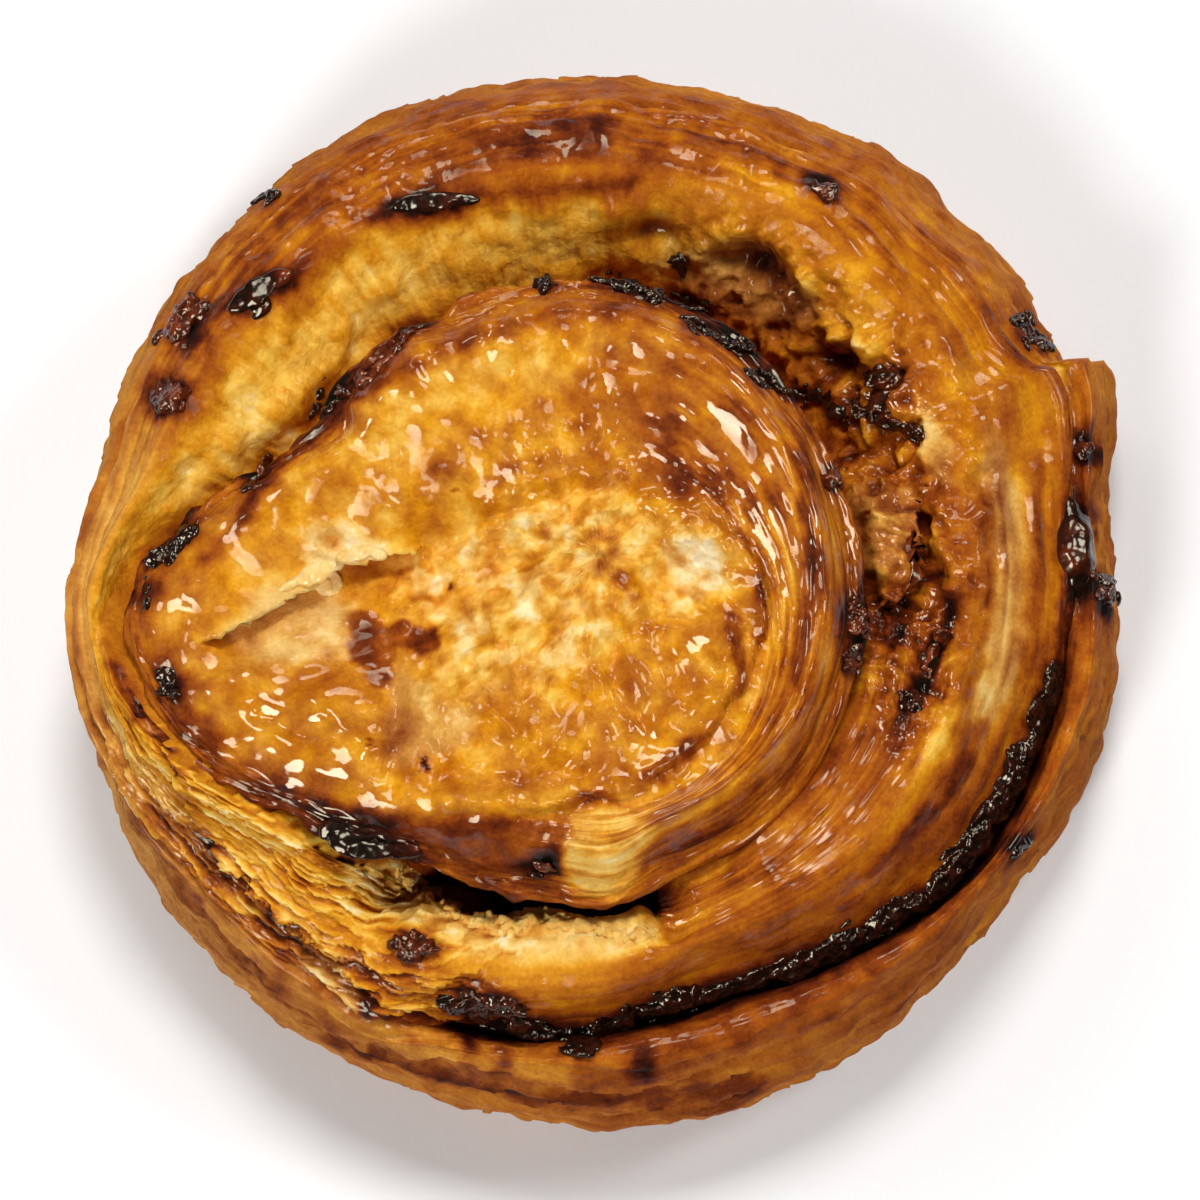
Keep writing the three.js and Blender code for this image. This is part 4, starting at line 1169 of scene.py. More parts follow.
# Stations: the rim, its crest, the lip, where the top ends and the underside starts, each with a soft edge
RIM_BAND = (2.7, 0.5, 6.6, 0.5)
RIM_CREST = (3.9, 0.6)
LIP_BAND = (5.9, 0.7)
TOP_END = (6.9, 0.5)
UNDER_START = (6.6, 0.5)
# Up to here the noise is laid on from above, and the relief stands upright
FLAT_END = (4.6, 1.2)
UPRIGHT_END = (5.0, 0.8)
BOSS_TEXTURE = {
    "swollen": [("broad", 0.45, 0)],
    "lumpy": [("lumps", 0.5, 0)],
    "folded": [("folds", 0.38, 0)],
    "wrinkled": [("wrinkles", 0.105, 0), ("creases", 0.105, 0)],
    "rim": [("streaks", 0.36, 0.2), ("fine_streaks", 0.14, 0.12), ("crest", 1.0, 0)],
    # The pores row darkens the pores as it sinks them: painted shade in the pores
    "heart": [("flaps", 0.4, 0), ("fibres", -0.3, 0), ("crumb", -0.28, 0), ("ridges", 0.25, 0),
              ("pores", -0.8, 0.3)],
    "striated": [("layers", 0.22, 0), ("grit", 0.2, 0), ("fine_streaks", 0, 0.1)],
    "blotchy": [("lumps", 0, 0.07), ("folds", 0, 0.09), ("blotches", 0, 0.12), ("dapples", 0, 0.06)],
    "crown": [("flaps", 0, 0.1), ("fibres", 0, 0.1), ("crumb", 0, 0.09), ("flecks", 0, -0.13)],
}
# How much each texture is held back in other zones
BOSS_HELD_BACK = {
    "swollen": {"rim": 0.4},
    "lumpy": {"rim": 0.85, "lobe": 0.3},
    "folded": {"rim": 0.9, "pale_band": 0.4, "lobe": 0.5, "pools": 0.5},
    "wrinkled": {"rim": 1, "pools": 0.8, "pale_band": 0.5, "lobe": 0.4},
    "blotchy": {"rim": 0.6},
    "free_lip": {"joined": 0.8},
}
# How common wrinkles are, and how they gather
WRINKLED = 0.6
WRINKLES_GATHER = 1.1
# The level past which crumb is flecked with cream, and over how much it eases in
FLECK_START = (-0.02, 0.4)
# The height and width of the bubble's rim, and the depth and width of the pit inside
BUBBLE_RIM = (0.8, 0.45)
BUBBLE_PIT = (0.9, 0.8)
# How far the borders of the bake waver, the bake level of the shade painted under the folds, and how much of
# it each fold takes
BOSS_WAVER = 0.2
PAINTED_FOLD_SHADE = 0.5
MOUTH_SHADE = 0.8
HEART_SHADE = 0.1
HEART_EDGE_BAKE = 0.03
MOUTH_EDGE_PALING = 0.12
# How dull plain dough, its blotches and the cream flecks are
BOSS_PLAIN = 0.08
BOSS_BLOTCHES_DULL = 0.15
FLECKS_DULL = 0.25
# How wet the boss, its rim and its dry heart are with glaze
BOSS_WETNESS = 0.6
RIM_WETTER = 0.4
HEART_DRIER = 0.3
BOSS_BREAKS = (0.4, 1.3)
BOSS_SHINE = (0.4, 1.3)
LIP_TEXTURE = {"free_lip": [("swells", 0.6, 0), ("nicks", 0.25, 0)], "under": [("underside", 0.5, 0)]}


def make_boss(material):
    """The boss, with the heart of the roll, the rim and the lip."""
    roll = Roll(boss_profile, BOSS_RINGS, BOSS_SECTORS)
    station = roll.station
    roll.places[:, 2] *= after(station, *FLAT_END)
    ragged = roll.ragged_plan(33, 0.8, 0.3)
    mouth_shade, mouth_edge = fold(roll.points, ragged, *MOUTH_FOLD)
    heart_shade, heart_edge = fold(roll.points, ragged, *HEART_FOLD)
    stretch, field = roll.stretches(BOSS_STRETCHES), roll.fields(BOSS_NOISE)
    field["pores"] = pits(roll.places, *HEART_PORES)
    field["ridges"] = ridges(roll.places, *HEART_RIDGES)
    field["crest"] = bell(station, *RIM_CREST)
    field["flecks"] = after(field["flecks"], *FLECK_START)
    top, under, lip = before(station, *TOP_END), after(station, *UNDER_START), bell(station, *LIP_BAND)
    rim = stretch["rim"] * roll.band(*RIM_BAND)
    pools = np.clip(spots(ragged, BOSS_WET), 0, 1)
    zone = {name: patch(ragged, *shape) for name, shape in BOSS_SHAPES.items()}
    heart, striated = zone["heart"], zone["striated"]
    zone.update(rim=rim, pools=pools, under=under, crown=top * heart, joined=stretch["joined"])
    for name, shares in BOSS_HELD_BACK.items():
        zone[name] = held_back(zone, shares)
    zone["wrinkled"] = zone["wrinkled"] * smooth(WRINKLED + WRINKLES_GATHER * field["wrinkling"])
    zone["blotchy"] = zone["blotchy"] * top
    zone["free_lip"] = zone["free_lip"] * lip
    relief, texture = textured(zone, field, BOSS_TEXTURE)
    x, y, radius = BURST_BUBBLE
    from_bubble = np.hypot(ragged[:, 0] - x, ragged[:, 1] - y)
    (rim_height, rim_width), (pit_depth, pit_width) = BUBBLE_RIM, BUBBLE_PIT
    relief = relief + rim_height * bell(from_bubble, radius, rim_width)
    relief = relief - pit_depth * bell(from_bubble, 0, pit_width)
    relief = relief + sum(height * line(ragged, corners, width) for height, width, corners in BOSS_RIDGES)
    relief = top * (relief + spots(roll.plan, BOSS_LUMPS)) + textured(zone, field, LIP_TEXTURE)[0]

    borders = station + BOSS_WAVER * field["borders"] * (1 - under)
    bake = paint(zones(roll.angle, borders, BOSS_BAKE), ragged, BOSS_PATCHES, BOSS_LINES, BOSS_MARKS)
    bake = bake + texture + (top + lip) * scorched(ragged)
    # Painted shade under the mouth's flap and beside the heart's edge
    bake = mix(bake, PAINTED_FOLD_SHADE, np.clip(MOUTH_SHADE * mouth_shade + HEART_SHADE * heart_shade, 0, 1))
    bake = bake + HEART_EDGE_BAKE * heart_edge - MOUTH_EDGE_PALING * mouth_edge * (1 - lip)
    dull = paint(BOSS_PLAIN, ragged, BOSS_DULL) + BOSS_BLOTCHES_DULL * field["beige"]
    dull = dull + FLECKS_DULL * zone["crown"] * field["flecks"]
    dry = np.clip(HEART_DRIER * heart + striated + mouth_shade, 0, 1)
    wet = np.clip(BOSS_WETNESS + RIM_WETTER * rim + pools, 0, 1) * (1 - dry)
    wet = wet * broken(mix(field["glaze"], field["glaze_streaks"], rim), *BOSS_BREAKS)
    gloss = top * np.maximum(wet * shine(bake, *BOSS_SHINE), zone["lobe"])
    values = {"bake": bake, "gloss": gloss, "dull": dull}
    return roll.piece("dough_boss", relief, values, material, before(station, *UPRIGHT_END))


# Filling, burnt crusts and crumbs

# Where the filling passes from the seam to the groove, and on to the crease: angle and length, in degrees
SEAM_TO_GROOVE = (150, 40)
GROOVE_TO_CREASE = (515, 42)
RIBBON_STEP = 3.0
# How far inside the shoulder and outside the boss it runs, in mm
SEAM_INSET = 0.8
GROOVE_OUTSET = 1.0
# How far its top lies below the seam, for each mm of the seam's depth too, the groove and the crown, and how
# high it is at least
SEAM_COVER = 1.6
SEAM_SUNK = 1.8
GROOVE_COVER = 2.5
CROWN_COVER = 4
RIBBON_LEAST = 1


def make_ribbon(material):
    """The filling as it is rolled in: a ribbon from the tail, by the seam and the groove, to the heart."""
    angle = np.arange(FILLING_START, FILLING_END + 1, RIBBON_STEP)
    past_seam, past_groove = after(angle, *SEAM_TO_GROOVE), after(angle, *GROOVE_TO_CREASE)
    radius = mix(shoulder_radius(angle) - SEAM_INSET, boss_radius(angle) + GROOVE_OUTSET, past_seam)
    radius = mix(radius, crease_radius(angle), past_groove)
    top = shoulder_height(angle) - SEAM_COVER - SEAM_SUNK * seam_depth(angle)
    top = mix(top, groove_height(angle) - GROOVE_COVER, past_seam)
    top = mix(top, crown_height(angle) - CROWN_COVER, past_groove)
    top = np.maximum(top, FILLING_FOOT + RIBBON_LEAST)
    half, turn = FILLING_THICKNESS / 2, np.radians(angle)
    corners = [(-half, 0), (half, 0), (half, 1), (-half, 1), (-half, 0)]
    rows = []
    for shift, level in corners:
        height = mix(FILLING_FOOT, top, level)
        side = radius + shift
        rows.append(np.stack([side * np.cos(turn), -side * np.sin(turn), height], axis=1))
    points = np.stack(rows, axis=1)
    ends = [np.repeat(points[i, :4].mean(axis=0)[None, None], 5, axis=1) for i in (0, -1)]
    points = np.concatenate([ends[0], points, ends[1]])
    values = {"char": np.full(points.shape[0] * points.shape[1], CHAR)}
    return closed_sheet("filling_ribbon", points, values, material)


# Shares of the way out to a place of the plan, tried in turn where it lies past the outline
INWARD_SHARES = (1, 0.98, 0.96, 0.94)


class Surface:
    """The dough as it lies, for setting things on it where the camera sees them."""

    def __init__(self, pieces):
        self.trees = []
        for piece in pieces:
            mesh = piece.data
            corners = [vertex.co for vertex in mesh.vertices]
            self.trees.append(BVHTree.FromPolygons(corners, [face.vertices for face in mesh.polygons]))

    def at(self, x, y):
        """The place and the normal of the dough at a point of the plan, or just inside its outline."""
        eye = (ROLL_CENTRE + VIEW_TARGET + DISTANCE * VIEW_BACK) * MM
        for share in INWARD_SHARES:
            goal = (ROLL_CENTRE + VIEW_TARGET + share * (np.array([x, 0, 0]) + y * VIEW_UP)) * MM
            ray = Vector(goal - eye).normalized()
            hits = [hit for hit in (tree.ray_cast(Vector(eye), ray) for tree in self.trees) if hit[0]]
            if hits:
                break
        place, normal = min(hits, key=lambda hit: hit[3])[:2]
        return np.array(place) / MM - ROLL_CENTRE, np.array(normal)


def line_of_lumps(draw, corners, count, size, scatter, sway, rise=1.0):
    """Lumps strewn along a line on the plan: x, y, length, width, height and turn of each."""
    corners = np.array(corners, float)
    lengths = np.linalg.norm(np.diff(corners, axis=0), axis=1)
    passed = np.concatenate([[0], np.cumsum(lengths)])
    lumps = []
    for i in range(count):
        along = (i + draw.random()) / count * passed[-1]
        x, y = (np.interp(along, passed, corners[:, k]) + draw.gauss(0, scatter) for k in (0, 1))
        long = size * draw.uniform(0.7, 1.3)
        wide, high = long * draw.uniform(0.35, 0.8), long * draw.uniform(0.25, 0.5) * rise
        step = np.diff(corners, axis=0)[np.searchsorted(passed[1:-1], along)]
        turn = math.degrees(math.atan2(step[1], step[0])) + draw.gauss(0, sway)
        lumps.append((x, y, long, wide, high, turn))
    return lumps


def lump_mesh(name, surface, lumps, sink, voxel, draw=None):
    """Lumps set on the dough and joined into one skin: smooth or, with a draw, angular and tilted."""
    bpy.ops.object.select_all(action="DESELECT")
    bpy.ops.mesh.primitive_ico_sphere_add(subdivisions=1 if draw else 3, radius=1)
    ball = bpy.context.object
    corners = np.array([vertex.co for vertex in ball.data.vertices])
    faces = np.array([face.vertices for face in ball.data.polygons])
    places, sides = [], []
    for x, y, long, wide, high, turn in lumps:
        place, up = surface.at(x, y)
        shape = corners
        if not draw:
            up = (up + [0, 0, 1]) / np.linalg.norm(up + [0, 0, 1])
        else:
            shape = corners * np.array([[draw.uniform(0.75, 1.4)] for corner in corners])
            up = up + np.array([draw.gauss(0, 0.22) for axis in range(3)])
            up /= np.linalg.norm(up)
        heading = np.array([math.cos(math.radians(turn)), math.sin(math.radians(turn)), 0])
        ahead = heading - up * (heading @ up)
        ahead /= np.linalg.norm(ahead)
        axes = np.array([ahead * long, np.cross(up, ahead) * wide, up * high])
        sides.append(faces + len(places) * len(corners))
        places.append(shape @ axes + place + up * high * (0.5 - sink))
    placed = (np.concatenate(places) + ROLL_CENTRE) * MM
    mesh = bpy.data.meshes.new(name)
    mesh.from_pydata(placed.tolist(), [], np.concatenate(sides).tolist())
    ball.data = mesh
    ball.name = name
    bpy.ops.object.modifier_add(type="REMESH")
    remesh = ball.modifiers[-1]
    remesh.mode = "VOXEL"
    remesh.voxel_size = voxel * MM
    bpy.ops.object.modifier_apply(modifier=remesh.name)
    return ball


def piece_points(piece):
    points = np.empty(len(piece.data.vertices) * 3)
    piece.data.vertices.foreach_get("co", points)
    return points.reshape(-1, 3) / MM


def roughen(piece, settings, crested=False):
    """Moves a piece's points in and out by noise, rounded or crested: pairs of a size and a depth."""
    mesh = piece.data
    points, normals = piece_points(piece), np.empty(len(mesh.vertices) * 3)
    mesh.vertices.foreach_get("normal", normals)
    relief = 0
    for seed, (size, depth) in enumerate(settings, 80):
        field = grain(points, size, seed, 2)
        relief = relief + depth * (0.7 - 2.6 * np.abs(field) if crested else field)
    moved = points + normals.reshape(-1, 3) * relief[:, None]
    mesh.vertices.foreach_set("co", (moved * MM).ravel())
    mesh.update()
    return relief


# The char of burnt lumps, and how much redder their heights are
CHAR = 0.4
HEIGHT_CHAR = 0.8


def burnt_values(piece, relief):
    """How charred the points are: darkest in the hollows, dark red at the red spots."""
    plan = plan_of(piece_points(piece) - ROLL_CENTRE)
    return {"char": CHAR + HEIGHT_CHAR * relief + spots(plan, RED_SPOTS)}


# How deep each kind of lump is sunk, as a share of its height, and how fine its skin is
SEAM_SET = (0.5, 0.16)
CRUST_SET = (0.45, 0.15)
LEAF_SET = (0.35, 0.17)
CRUMB_SET = (0.4, 0.16)
FLAP_SET = (0.3, 0.16)
# Lumps along the seam: number, size, scatter, uneven turn and rise; along the lip: size, as a share of the
# line's own, scatter and uneven turn
SEAM_LUMPS = [(90, 2.2, 0.3, 8, 0.6), (70, 0.9, 0.7, 40, 1.0)]
LIP_LUMPS = [(1.1, 0.35, 20), (0.5, 0.5, 60)]
# How rough each kind of lump is: pairs of a size and a depth
CRUST_ROUGHNESS = [(1.6, 0.2), (0.6, 0.06)]
LEAF_ROUGHNESS = [(2.4, 0.4), (0.9, 0.06)]
CRUMB_ROUGHNESS = [(1.1, 0.3), (0.45, 0.14)]
FLAP_ROUGHNESS = [(1.4, 0.3), (0.5, 0.08)]


def make_filling_crust(surface, material):
    """What shows of the filling: burnt bubbles along the seam and on the lip."""
    draw = random.Random(5)
    lumps = []
    for strewn in SEAM_LUMPS:
        lumps += line_of_lumps(draw, SEAM_LINE, *strewn)
    for corners, count, size in LIP_LINES:
        for share, scatter, sway in LIP_LUMPS:
            lumps += line_of_lumps(draw, corners, count, size * share, scatter, sway)
    crust = lump_mesh("filling_crust", surface, lumps, *SEAM_SET, draw)
    relief = roughen(crust, CRUST_ROUGHNESS, crested=True)
    return finish(crust, burnt_values(crust, relief), material)


# Shards on each crust, how far out they lie, and the upward share of the dough's normal below which it is
# too steep for them
SHARDS = 7
SHARD_REACH = 0.85
STEEP = 0.5


def make_crusts(surface, material):
    """Burnt flakes and blobs that stand on the dough."""
    draw = random.Random(6)
    lumps = list(CRUSTS)
    for x, y, crust_long, crust_wide, _, turn in CRUSTS:
        c, d = math.cos(math.radians(turn)), math.sin(math.radians(turn))
        for i in range(SHARDS):
            along = draw.uniform(-SHARD_REACH, SHARD_REACH) * crust_long
            aside = draw.uniform(-SHARD_REACH, SHARD_REACH) * crust_wide
            place = (x + c * along - d * aside, y + d * along + c * aside)
            size = draw.uniform(0.5, 1.1)
            wide, high = size * draw.uniform(0.5, 0.9), size * draw.uniform(0.4, 0.8)
            shard = (*place, size, wide, high, draw.uniform(0, 180))
            if surface.at(*place)[1][2] > STEEP:
                lumps.append(shard)
    crusts = lump_mesh("burnt_crusts", surface, lumps, *CRUST_SET, draw)
    relief = roughen(crusts, CRUST_ROUGHNESS, crested=True)
    return finish(crusts, burnt_values(crusts, relief), material)


def make_leaves(surface, material):
    """Burnt leaves that lie flat on the dough, and the blister at the right."""
    leaves = lump_mesh("burnt_leaves", surface, LEAVES, *LEAF_SET)
    relief = roughen(leaves, LEAF_ROUGHNESS)
    return finish(leaves, burnt_values(leaves, relief), material)


# Torn crumbs along lines on the plan: corners, number, size, scatter and uneven turn of the lumps
CRUMBS = [
    ([(-13, -31.8), (-9, -32), (-6.5, -31.4), (-3, -31.9), (-1.5, -32.6)], 90, 0.6, 0.4, 60),
    ([(-20, -27), (-17.6, -28.6), (-14, -31.2)], 40, 0.55, 0.45, 40),
    ([(-1, -33), (3, -33.4), (6, -33)], 30, 0.5, 0.35, 60),
]


# The bake of pale scraps of dough, how much darker their heights are, their gloss and their dullness
CRUMB_FINISH = (0.2, 0.3, 0.15, 0.35)
FLAP_FINISH = (0.12, 0.2, 0.4, 0.5)


def pale_values(relief, bake, darker, gloss, dull):
    even = np.ones(len(relief))
    return {"bake": bake + darker * relief, "gloss": gloss * even, "dull": dull * even}


def make_crumbs(surface, material):
    """Torn crumbs along the lower edge of the slit."""
    draw = random.Random(8)
    lumps = []
    for corners, *strewn in CRUMBS:
        lumps += line_of_lumps(draw, corners, *strewn)
    crumbs = lump_mesh("dough_crumbs", surface, lumps, *CRUMB_SET, draw)
    relief = roughen(crumbs, CRUMB_ROUGHNESS)
    return finish(crumbs, pale_values(relief, *CRUMB_FINISH), material)


# The torn flap that hangs at the mouth: x, y, length, width, height and turn of its scraps
FLAP_SCRAPS = [
    (-28.2, 3.2, 2.2, 1.1, 0.35, 32), (-27.4, 2.4, 2.0, 1.5, 0.4, -65), (-24.4, 4.9, 1.9, 0.8, 0.3, 15),
    (-30.8, 1.9, 1.8, 0.5, 0.3, 28), (-22.4, 5.0, 1.1, 0.6, 0.3, -20),
]


def make_flap(surface, material):
    """The torn flap of pale dough at the mouth."""
    flap = lump_mesh("dough_flap", surface, FLAP_SCRAPS, *FLAP_SET)
    relief = roughen(flap, FLAP_ROUGHNESS)
    return finish(flap, pale_values(relief, *FLAP_FINISH), material)


# Finishes

BAKED_COLOURS = [
    (0.0, "F8E0A0"), (0.15, "F3C14C"), (0.3, "DF9612"), (0.42, "C0710A"), (0.54, "A45109"),
    (0.66, "7B3107"), (0.78, "4F1806"), (0.9, "240B05"), (1.0, "0F0704"),
]
DULL_COLOURS = [
    (0.0, "F3E3BE"), (0.15, "E6C88F"), (0.3, "D2A562"), (0.42, "B98248"), (0.54, "945C30"),
    (0.66, "6A381B"), (0.78, "431E10"), (0.9, "200D08"), (1.0, "0E0705"),
]
BURNT_COLOURS = [(0.0, "090504"), (0.4, "1A0B06"), (0.62, "3A1409"), (0.8, "5E220C"), (1.0, "8A3C14")]


def linear(hex_colour):
    """A screen colour as the linear values that shaders take."""
    parts = [int(hex_colour[i:i + 2], 16) / 255 for i in (0, 2, 4)]
    return tuple(p / 12.92 if p <= 0.04045 else ((p + 0.055) / 1.055) ** 2.4 for p in parts) + (1.0,)


def new_material(name, finish_values):
    """A material with constant values on its shader's own sockets."""
    material = bpy.data.materials.new(name)
    material.use_nodes = True
    shader = material.node_tree.nodes["Principled BSDF"]
    for socket, value in finish_values.items():
        shader.inputs[socket].default_value = value
    return material, material.node_tree, shader


def math_node(tree, operation, *values):
    node = tree.nodes.new("ShaderNodeMath")
    node.operation = operation
    for socket, value in zip(node.inputs, values):
        if isinstance(value, (int, float)):
            socket.default_value = value
        else:
            tree.links.new(value, socket)
    return node.outputs[0]


def attribute_node(tree, name):
    node = tree.nodes.new("ShaderNodeAttribute")
    node.attribute_name = name
    return node.outputs["Fac"]


def ramp_node(tree, amount, colours):
    ramp = tree.nodes.new("ShaderNodeValToRGB")
    stops = ramp.color_ramp.elements
    stops.remove(stops[1])
    for i, (place, colour) in enumerate(colours):
        stop = stops[0] if i == 0 else stops.new(place)
        stop.position = place
        stop.color = linear(colour)
    tree.links.new(amount, ramp.inputs["Fac"])
    return ramp.outputs["Color"]


# How much finer speckles are than blotches, and the detail of both
SPECKLE_SHARE = 3.7
NOISE_DETAIL = 4


def uneven_group():
    """The oven's unevenness, for every finish: a level made blotchy, and a fine grain for bump."""
    group = bpy.data.node_groups.new("oven_unevenness", "ShaderNodeTree")
    for name in ("Level", "Blotch Scale", "Blotch Depth", "Speckle Depth"):
        group.interface.new_socket(name, in_out="INPUT", socket_type="NodeSocketFloat")
    for name in ("Level", "Grain"):
        group.interface.new_socket(name, in_out="OUTPUT", socket_type="NodeSocketFloat")
    inside, outside = group.nodes.new("NodeGroupInput"), group.nodes.new("NodeGroupOutput")
    place = group.nodes.new("ShaderNodeTexCoord").outputs["Object"]
    fields = []
    for share in (1.0, SPECKLE_SHARE):
        texture = group.nodes.new("ShaderNodeTexNoise")
        texture.inputs["Detail"].default_value = NOISE_DETAIL
        group.links.new(place, texture.inputs["Vector"])
        scale = math_node(group, "MULTIPLY", inside.outputs["Blotch Scale"], share)
        group.links.new(scale, texture.inputs["Scale"])
        fields.append(math_node(group, "SUBTRACT", texture.outputs["Fac"], 0.5))
    level = inside.outputs["Level"]
    for field, depth in zip(fields, ("Blotch Depth", "Speckle Depth")):
        level = math_node(group, "MULTIPLY_ADD", field, inside.outputs[depth], level)
    group.links.new(level, outside.inputs["Level"])
    group.links.new(math_node(group, "MULTIPLY_ADD", fields[0], 2.0, fields[1]), outside.inputs["Grain"])
    return group


def place_group(tree, group, level, scale, blotch, speckle):
    node = tree.nodes.new("ShaderNodeGroup")
    node.node_tree = group
    tree.links.new(level, node.inputs["Level"])
    for name, value in (("Blotch Scale", scale), ("Blotch Depth", blotch), ("Speckle Depth", speckle)):
        node.inputs[name].default_value = value
    return node.outputs["Level"], node.outputs["Grain"]


def bump_into(tree, shader, height, strength, distance):
    node = tree.nodes.new("ShaderNodeBump")
    node.inputs["Strength"].default_value = strength
    node.inputs["Distance"].default_value = distance * MM
    tree.links.new(height, node.inputs["Height"])
    tree.links.new(node.outputs["Normal"], shader.inputs["Normal"])


# Constant values of the finishes
DOUGH_FINISH = {
    "Coat Roughness": 0.08, "Specular IOR Level": 0.045, "Subsurface Weight": 0.1,
    "Subsurface Radius": (1.0, 0.45, 0.15), "Subsurface Scale": 0.001,
}
BURNT_FINISH = {"Specular IOR Level": 0.03, "Coat Weight": 0.85, "Coat Roughness": 0.15}
FLOOR_FINISH = {"Base Color": (0.92, 0.92, 0.92, 1), "Roughness": 0.9, "Specular IOR Level": 0.1}
# Their unevenness: blotches to the metre, depth of the blotches and of the speckles
DOUGH_UNEVENNESS = (620, 0.18, 0.18)
BURNT_UNEVENNESS = (1000, 0.5, 0.15)
# Their bump: strength and height
DOUGH_BUMP = (0.4, 0.4)
BURNT_BUMP = (0.1, 0.3)
# Roughness where there is no glaze or char, and how it changes with them
DOUGH_ROUGHNESS = 0.68
GLAZE_SMOOTHS = -0.3
BURNT_ROUGHNESS = 0.62
CHAR_SMOOTHS = -0.4
# How sharply the fine grain breaks the glaze up, and how much of it is left between
SPECK_CONTRAST = 3.0
SPECK_MIDDLE = 0.45


def baked_dough(group):
    """Dough from pale crumb to burnt, golden or dull, under a glaze that is broken up where it is thin."""
    material, tree, shader = new_material("baked_dough", DOUGH_FINISH)
    gloss = attribute_node(tree, "gloss")
    level, fine = place_group(tree, group, attribute_node(tree, "bake"), *DOUGH_UNEVENNESS)
    blend = tree.nodes.new("ShaderNodeMix")
    blend.data_type = "RGBA"
    tree.links.new(attribute_node(tree, "dull"), blend.inputs["Factor"])
    tree.links.new(ramp_node(tree, level, BAKED_COLOURS), blend.inputs["A"])
    tree.links.new(ramp_node(tree, level, DULL_COLOURS), blend.inputs["B"])
    tree.links.new(blend.outputs["Result"], shader.inputs["Base Color"])
    roughness = math_node(tree, "MULTIPLY_ADD", gloss, GLAZE_SMOOTHS, DOUGH_ROUGHNESS)
    tree.links.new(roughness, shader.inputs["Roughness"])
    specks = math_node(tree, "MULTIPLY_ADD", fine, SPECK_CONTRAST, SPECK_MIDDLE)
    specks.node.use_clamp = True
    between = math_node(tree, "SUBTRACT", 1.0, specks)
    thin = math_node(tree, "MULTIPLY_ADD", between, gloss, specks)
    tree.links.new(math_node(tree, "MULTIPLY", gloss, thin), shader.inputs["Coat Weight"])
    bump_into(tree, shader, fine, *DOUGH_BUMP)
    return material


def burnt_filling(group):
    """Filling burnt black or dark red, with a hard gloss."""
    material, tree, shader = new_material("burnt_filling", BURNT_FINISH)
    level, fine = place_group(tree, group, attribute_node(tree, "char"), *BURNT_UNEVENNESS)
    tree.links.new(ramp_node(tree, level, BURNT_COLOURS), shader.inputs["Base Color"])
    roughness = math_node(tree, "MULTIPLY_ADD", level, CHAR_SMOOTHS, BURNT_ROUGHNESS)
    tree.links.new(roughness, shader.inputs["Roughness"])
    bump_into(tree, shader, fine, *BURNT_BUMP)
    return material


# Stage, light and camera

# Lamps that light the dough, and cards that only show in its glaze: name, place, size and watts
LAMPS = [
    ("overhead", (0.03, 0.42, 0.82), 0.26, 4.8),
    ("front_left", (-0.24, -0.5, 0.55), 0.2, 3.0),
    ("right", (0.5, 0.2, 0.6), 0.18, 1.3),
    ("back_left", (-0.33, 0.56, 0.64), 0.4, 1.2),
]
CARDS = [
    ("card_front_left", (-0.48, -0.33, 0.66), 0.46, 11.5),
    ("card_back", (-0.12, 0.6, 0.7), 0.38, 5.0),
    ("card_right", (0.5, 0.35, 0.75), 0.34, 5.0),
    ("card_front_right", (0.42, -0.15, 0.88), 0.27, 1.9),
]
LAMP_COLOUR = (1.0, 1.0, 1.0)
CARD_COLOUR = (1.0, 0.9, 0.68)
LIT_PLACE = (0, 0, 0.02)
# The sky: its strength, and its grey near the horizon and overhead
SKY_STRENGTH = 0.42
HORIZON = (0.05, (0.6, 0.6, 0.6, 1))
ZENITH = (0.55, (0.1, 0.1, 0.1, 1))
FLOOR_SIZE = 6


def make_floor():
    bpy.ops.object.select_all(action="DESELECT")
    bpy.ops.mesh.primitive_plane_add(size=FLOOR_SIZE)
    floor = bpy.context.object
    floor.name = "floor"
    floor.data.materials.append(new_material("pale_floor", FLOOR_FINISH)[0])


def area_light(name, place, size, watts, in_glaze):
    """A round soft lamp that lights the dough or, as a card, only shows in its glaze."""
    data = bpy.data.lights.new(name, "AREA")
    data.shape = "DISK"
    data.size = size
    data.energy = watts
    data.color = CARD_COLOUR if in_glaze else LAMP_COLOUR
    lamp = bpy.data.objects.new(name, data)
    lamp.location = place
    lamp.visible_diffuse = not in_glaze
    lamp.visible_glossy = in_glaze
    lamp.rotation_euler = (Vector(LIT_PLACE) - Vector(place)).to_track_quat("-Z", "Y").to_euler()
    bpy.context.scene.collection.objects.link(lamp)


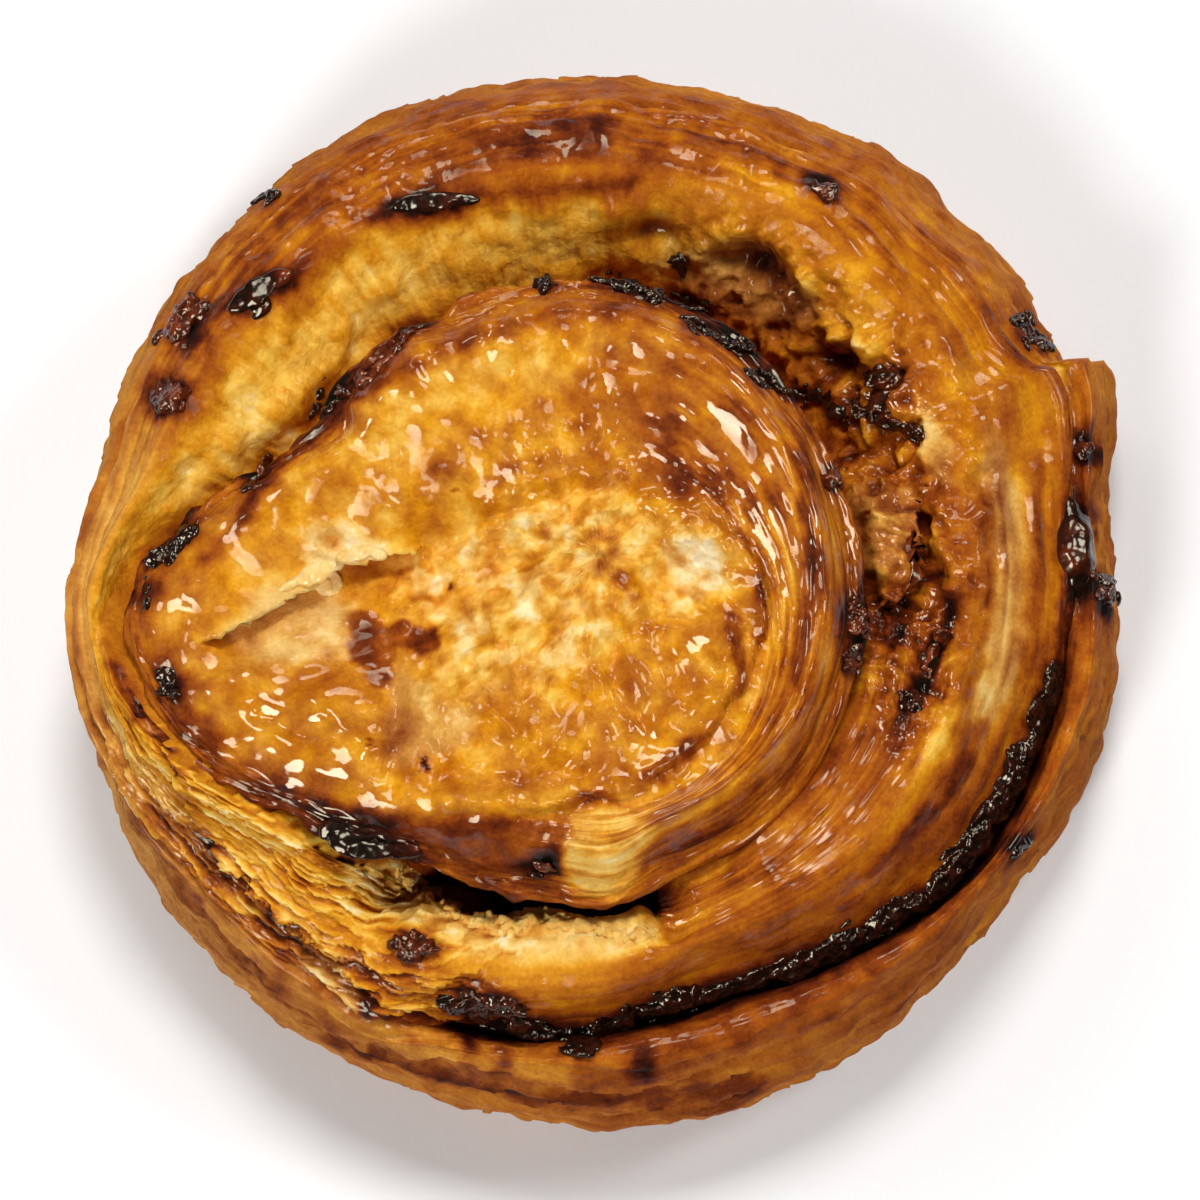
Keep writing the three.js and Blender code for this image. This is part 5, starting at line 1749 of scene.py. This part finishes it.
def make_light():
    world = bpy.data.worlds.new("studio")
    world.use_nodes = True
    nodes, links = world.node_tree.nodes, world.node_tree.links
    direction = nodes.new("ShaderNodeTexCoord").outputs["Generated"]
    split = nodes.new("ShaderNodeSeparateXYZ")
    links.new(direction, split.inputs[0])
    ramp = nodes.new("ShaderNodeValToRGB")
    for stop, (place, grey) in zip(ramp.color_ramp.elements, (HORIZON, ZENITH)):
        stop.position = place
        stop.color = grey
    links.new(split.outputs["Z"], ramp.inputs["Fac"])
    links.new(ramp.outputs["Color"], nodes["Background"].inputs["Color"])
    nodes["Background"].inputs["Strength"].default_value = SKY_STRENGTH
    bpy.context.scene.world = world
    world.cycles_visibility.glossy = False
    for lamp in LAMPS:
        area_light(*lamp, in_glaze=False)
    for card in CARDS:
        area_light(*card, in_glaze=True)
    bpy.context.scene.view_settings.view_transform = "Standard"


def make_camera():
    data = bpy.data.cameras.new("camera")
    data.sensor_width = SENSOR
    data.lens = SENSOR * DISTANCE / VIEW_WIDTH
    data.shift_y = PLAN_TILT
    data.clip_start = 0.01
    camera = bpy.data.objects.new("camera", data)
    camera.location = (ROLL_CENTRE + VIEW_TARGET + DISTANCE * VIEW_BACK) * MM
    camera.rotation_euler = Euler((math.pi / 2 - ELEVATION, 0, 0))
    bpy.context.scene.collection.objects.link(camera)
    bpy.context.scene.camera = camera


def main():
    make_camera()
    make_floor()
    make_light()
    group = uneven_group()
    dough, burnt = baked_dough(group), burnt_filling(group)
    turn, wrap, boss = make_turn(dough), make_wrap(dough), make_boss(dough)
    surface = Surface((turn, wrap, boss))
    crumbs, flap = make_crumbs(surface, dough), make_flap(surface, dough)
    ribbon = make_ribbon(burnt)
    crust = make_filling_crust(surface, burnt)
    crusts, leaves = make_crusts(surface, burnt), make_leaves(surface, burnt)
    for piece in (turn, wrap, boss, crumbs, flap):
        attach(piece, "root")
        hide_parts("dough")
    for piece in (ribbon, crust, crusts, leaves):
        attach(piece, "root")
        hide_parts("filling")


main()
